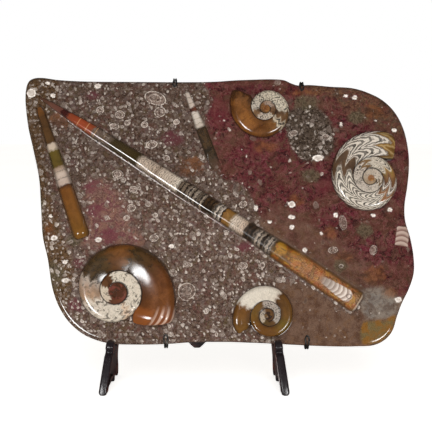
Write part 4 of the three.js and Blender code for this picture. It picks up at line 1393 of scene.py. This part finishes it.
across, level, up = plate_rings(rail_profile(), RAIL_THICKNESS, RAIL_ROUNDING)
rail = easel_plate("rail", across, level + RAIL_FRONT + RAIL_THICKNESS / 2, up,
                   np.abs(level) > RAIL_THICKNESS / 2 - 0.1,
                   lacquer_material("rail_lacquer", RAIL_GRAIN, 0.3), "easel_rail")
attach(rail, "root")
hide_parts("easel_rail")

# ========================================
# The room: a plain pale floor under soft light from all round and a soft lamp high in front,
# with two bright panels far off to the left and right that only show as reflections in the
# polish, and the camera a little above the slab's middle.
# ========================================

FLOOR_HALF = 6.0
FLOOR_LEVEL = -0.0001
FLOOR_GLOW = 0.78
WHITE = (1.0, 1.0, 1.0, 1.0)
ROOM_TINT = (1.0, 0.98, 0.96, 1.0)
ROOM_LIGHT = 0.32
REFLECTED_LIGHT = 0.05  # of the room as the polish shows it
LAMPS = [  # degrees to the side, half-width in degrees, lowest and highest in degrees, brightness
    (-21.5, 6.5, -13, 5, 20.0), (20, 6.5, -14, 2, 17.0)]
LAMP_AWAY = 3.0
LAMP_AIM = 0.1
FRONT_PLACE = (0.0, -1.7, 1.1)
FRONT_TILT = math.radians(62)
FRONT_SIZE = 1.2
FRONT_ENERGY = 24.0
LOOK_AT = (-0.00286, 0.0, 0.18808)
CAMERA_DISTANCE = 1.3
CAMERA_RISE = math.radians(6)
CAMERA_SENSOR = 36
VIEW_WIDTH = 0.47223216  # of what the camera sees at its aim

floor_material, floor_tree, floor_shader = new_material(
    "pale_floor", Roughness=0.8, Specular_IOR_Level=0.0, Emission_Strength=FLOOR_GLOW)
floor_tone = blend(noise(on_piece(floor_tree), 3.0), "f2f1ef", "f8f7f5")
put(floor_shader, {"Base Color": floor_tone, "Emission Color": floor_tone})
floor_corners = FLOOR_HALF * np.array([(-1, -1, 0), (1, -1, 0), (1, 1, 0), (-1, 1, 0)]) + [0, 0, FLOOR_LEVEL]
floor = new_piece("floor", floor_corners, [(0, 1, 2, 3)], floor_material, {}, flat_faces=1)
floor.visible_glossy = False

world = bpy.data.worlds.new("soft_room")
scene.world = world
world.use_nodes = True
room = world.node_tree
room.nodes.clear()
around, reflected, seen = (
    get("ShaderNodeBackground", {"Color": colour, "Strength": strength}, tree=room)
    for colour, strength in ((ROOM_TINT, ROOM_LIGHT), (WHITE, REFLECTED_LIGHT), (WHITE, 1.0)))
rays = new_node("ShaderNodeLightPath", {}, room).outputs
lit = get("ShaderNodeMixShader", {0: Value(rays["Is Glossy Ray"]), 1: around, 2: reflected})
lit = get("ShaderNodeMixShader", {0: Value(rays["Is Camera Ray"]), 1: lit, 2: seen})
new_node("ShaderNodeOutputWorld", {0: lit})


def lamp(name, width, height, energy, place, turn, **seen_by):
    """A soft lamp that the camera doesn't see."""
    light = bpy.data.lights.new(name, "AREA")
    light.shape = "RECTANGLE"
    light.size = width
    light.size_y = height
    light.energy = energy
    lamp_object = bpy.data.objects.new(name, light)
    lamp_object.location = place
    lamp_object.rotation_euler = turn
    lamp_object.visible_camera = False
    for key, shown in seen_by.items():
        setattr(lamp_object, key, shown)
    scene.collection.objects.link(lamp_object)


for number, (aside, half_width, lowest, highest, strength) in enumerate(LAMPS):
    low, high = (LAMP_AIM + LAMP_AWAY * math.tan(math.radians(angle)) for angle in (lowest, highest))
    width = 2 * LAMP_AWAY * math.tan(math.radians(half_width))
    side = math.radians(aside)
    lamp("side_lamp_%d" % number, width, high - low, strength * math.pi * width * (high - low),
         (LAMP_AWAY * math.sin(side), -LAMP_AWAY * math.cos(side), (low + high) / 2),
         (math.pi / 2, 0, side), visible_diffuse=False)
lamp("soft_front", FRONT_SIZE, FRONT_SIZE, FRONT_ENERGY, FRONT_PLACE, (FRONT_TILT, 0, 0),
     visible_glossy=False)

camera = bpy.data.cameras.new("camera")
camera.sensor_width = CAMERA_SENSOR
camera.lens = CAMERA_SENSOR * CAMERA_DISTANCE / VIEW_WIDTH
camera.clip_end = 50
camera_object = bpy.data.objects.new("camera", camera)
camera_object.location = (
    LOOK_AT[0],
    LOOK_AT[1] - CAMERA_DISTANCE * math.cos(CAMERA_RISE),
    LOOK_AT[2] + CAMERA_DISTANCE * math.sin(CAMERA_RISE),
)
camera_object.rotation_euler = (math.pi / 2 - CAMERA_RISE, 0, 0)
scene.collection.objects.link(camera_object)
scene.camera = camera_object
scene.view_settings.view_transform = "Standard"
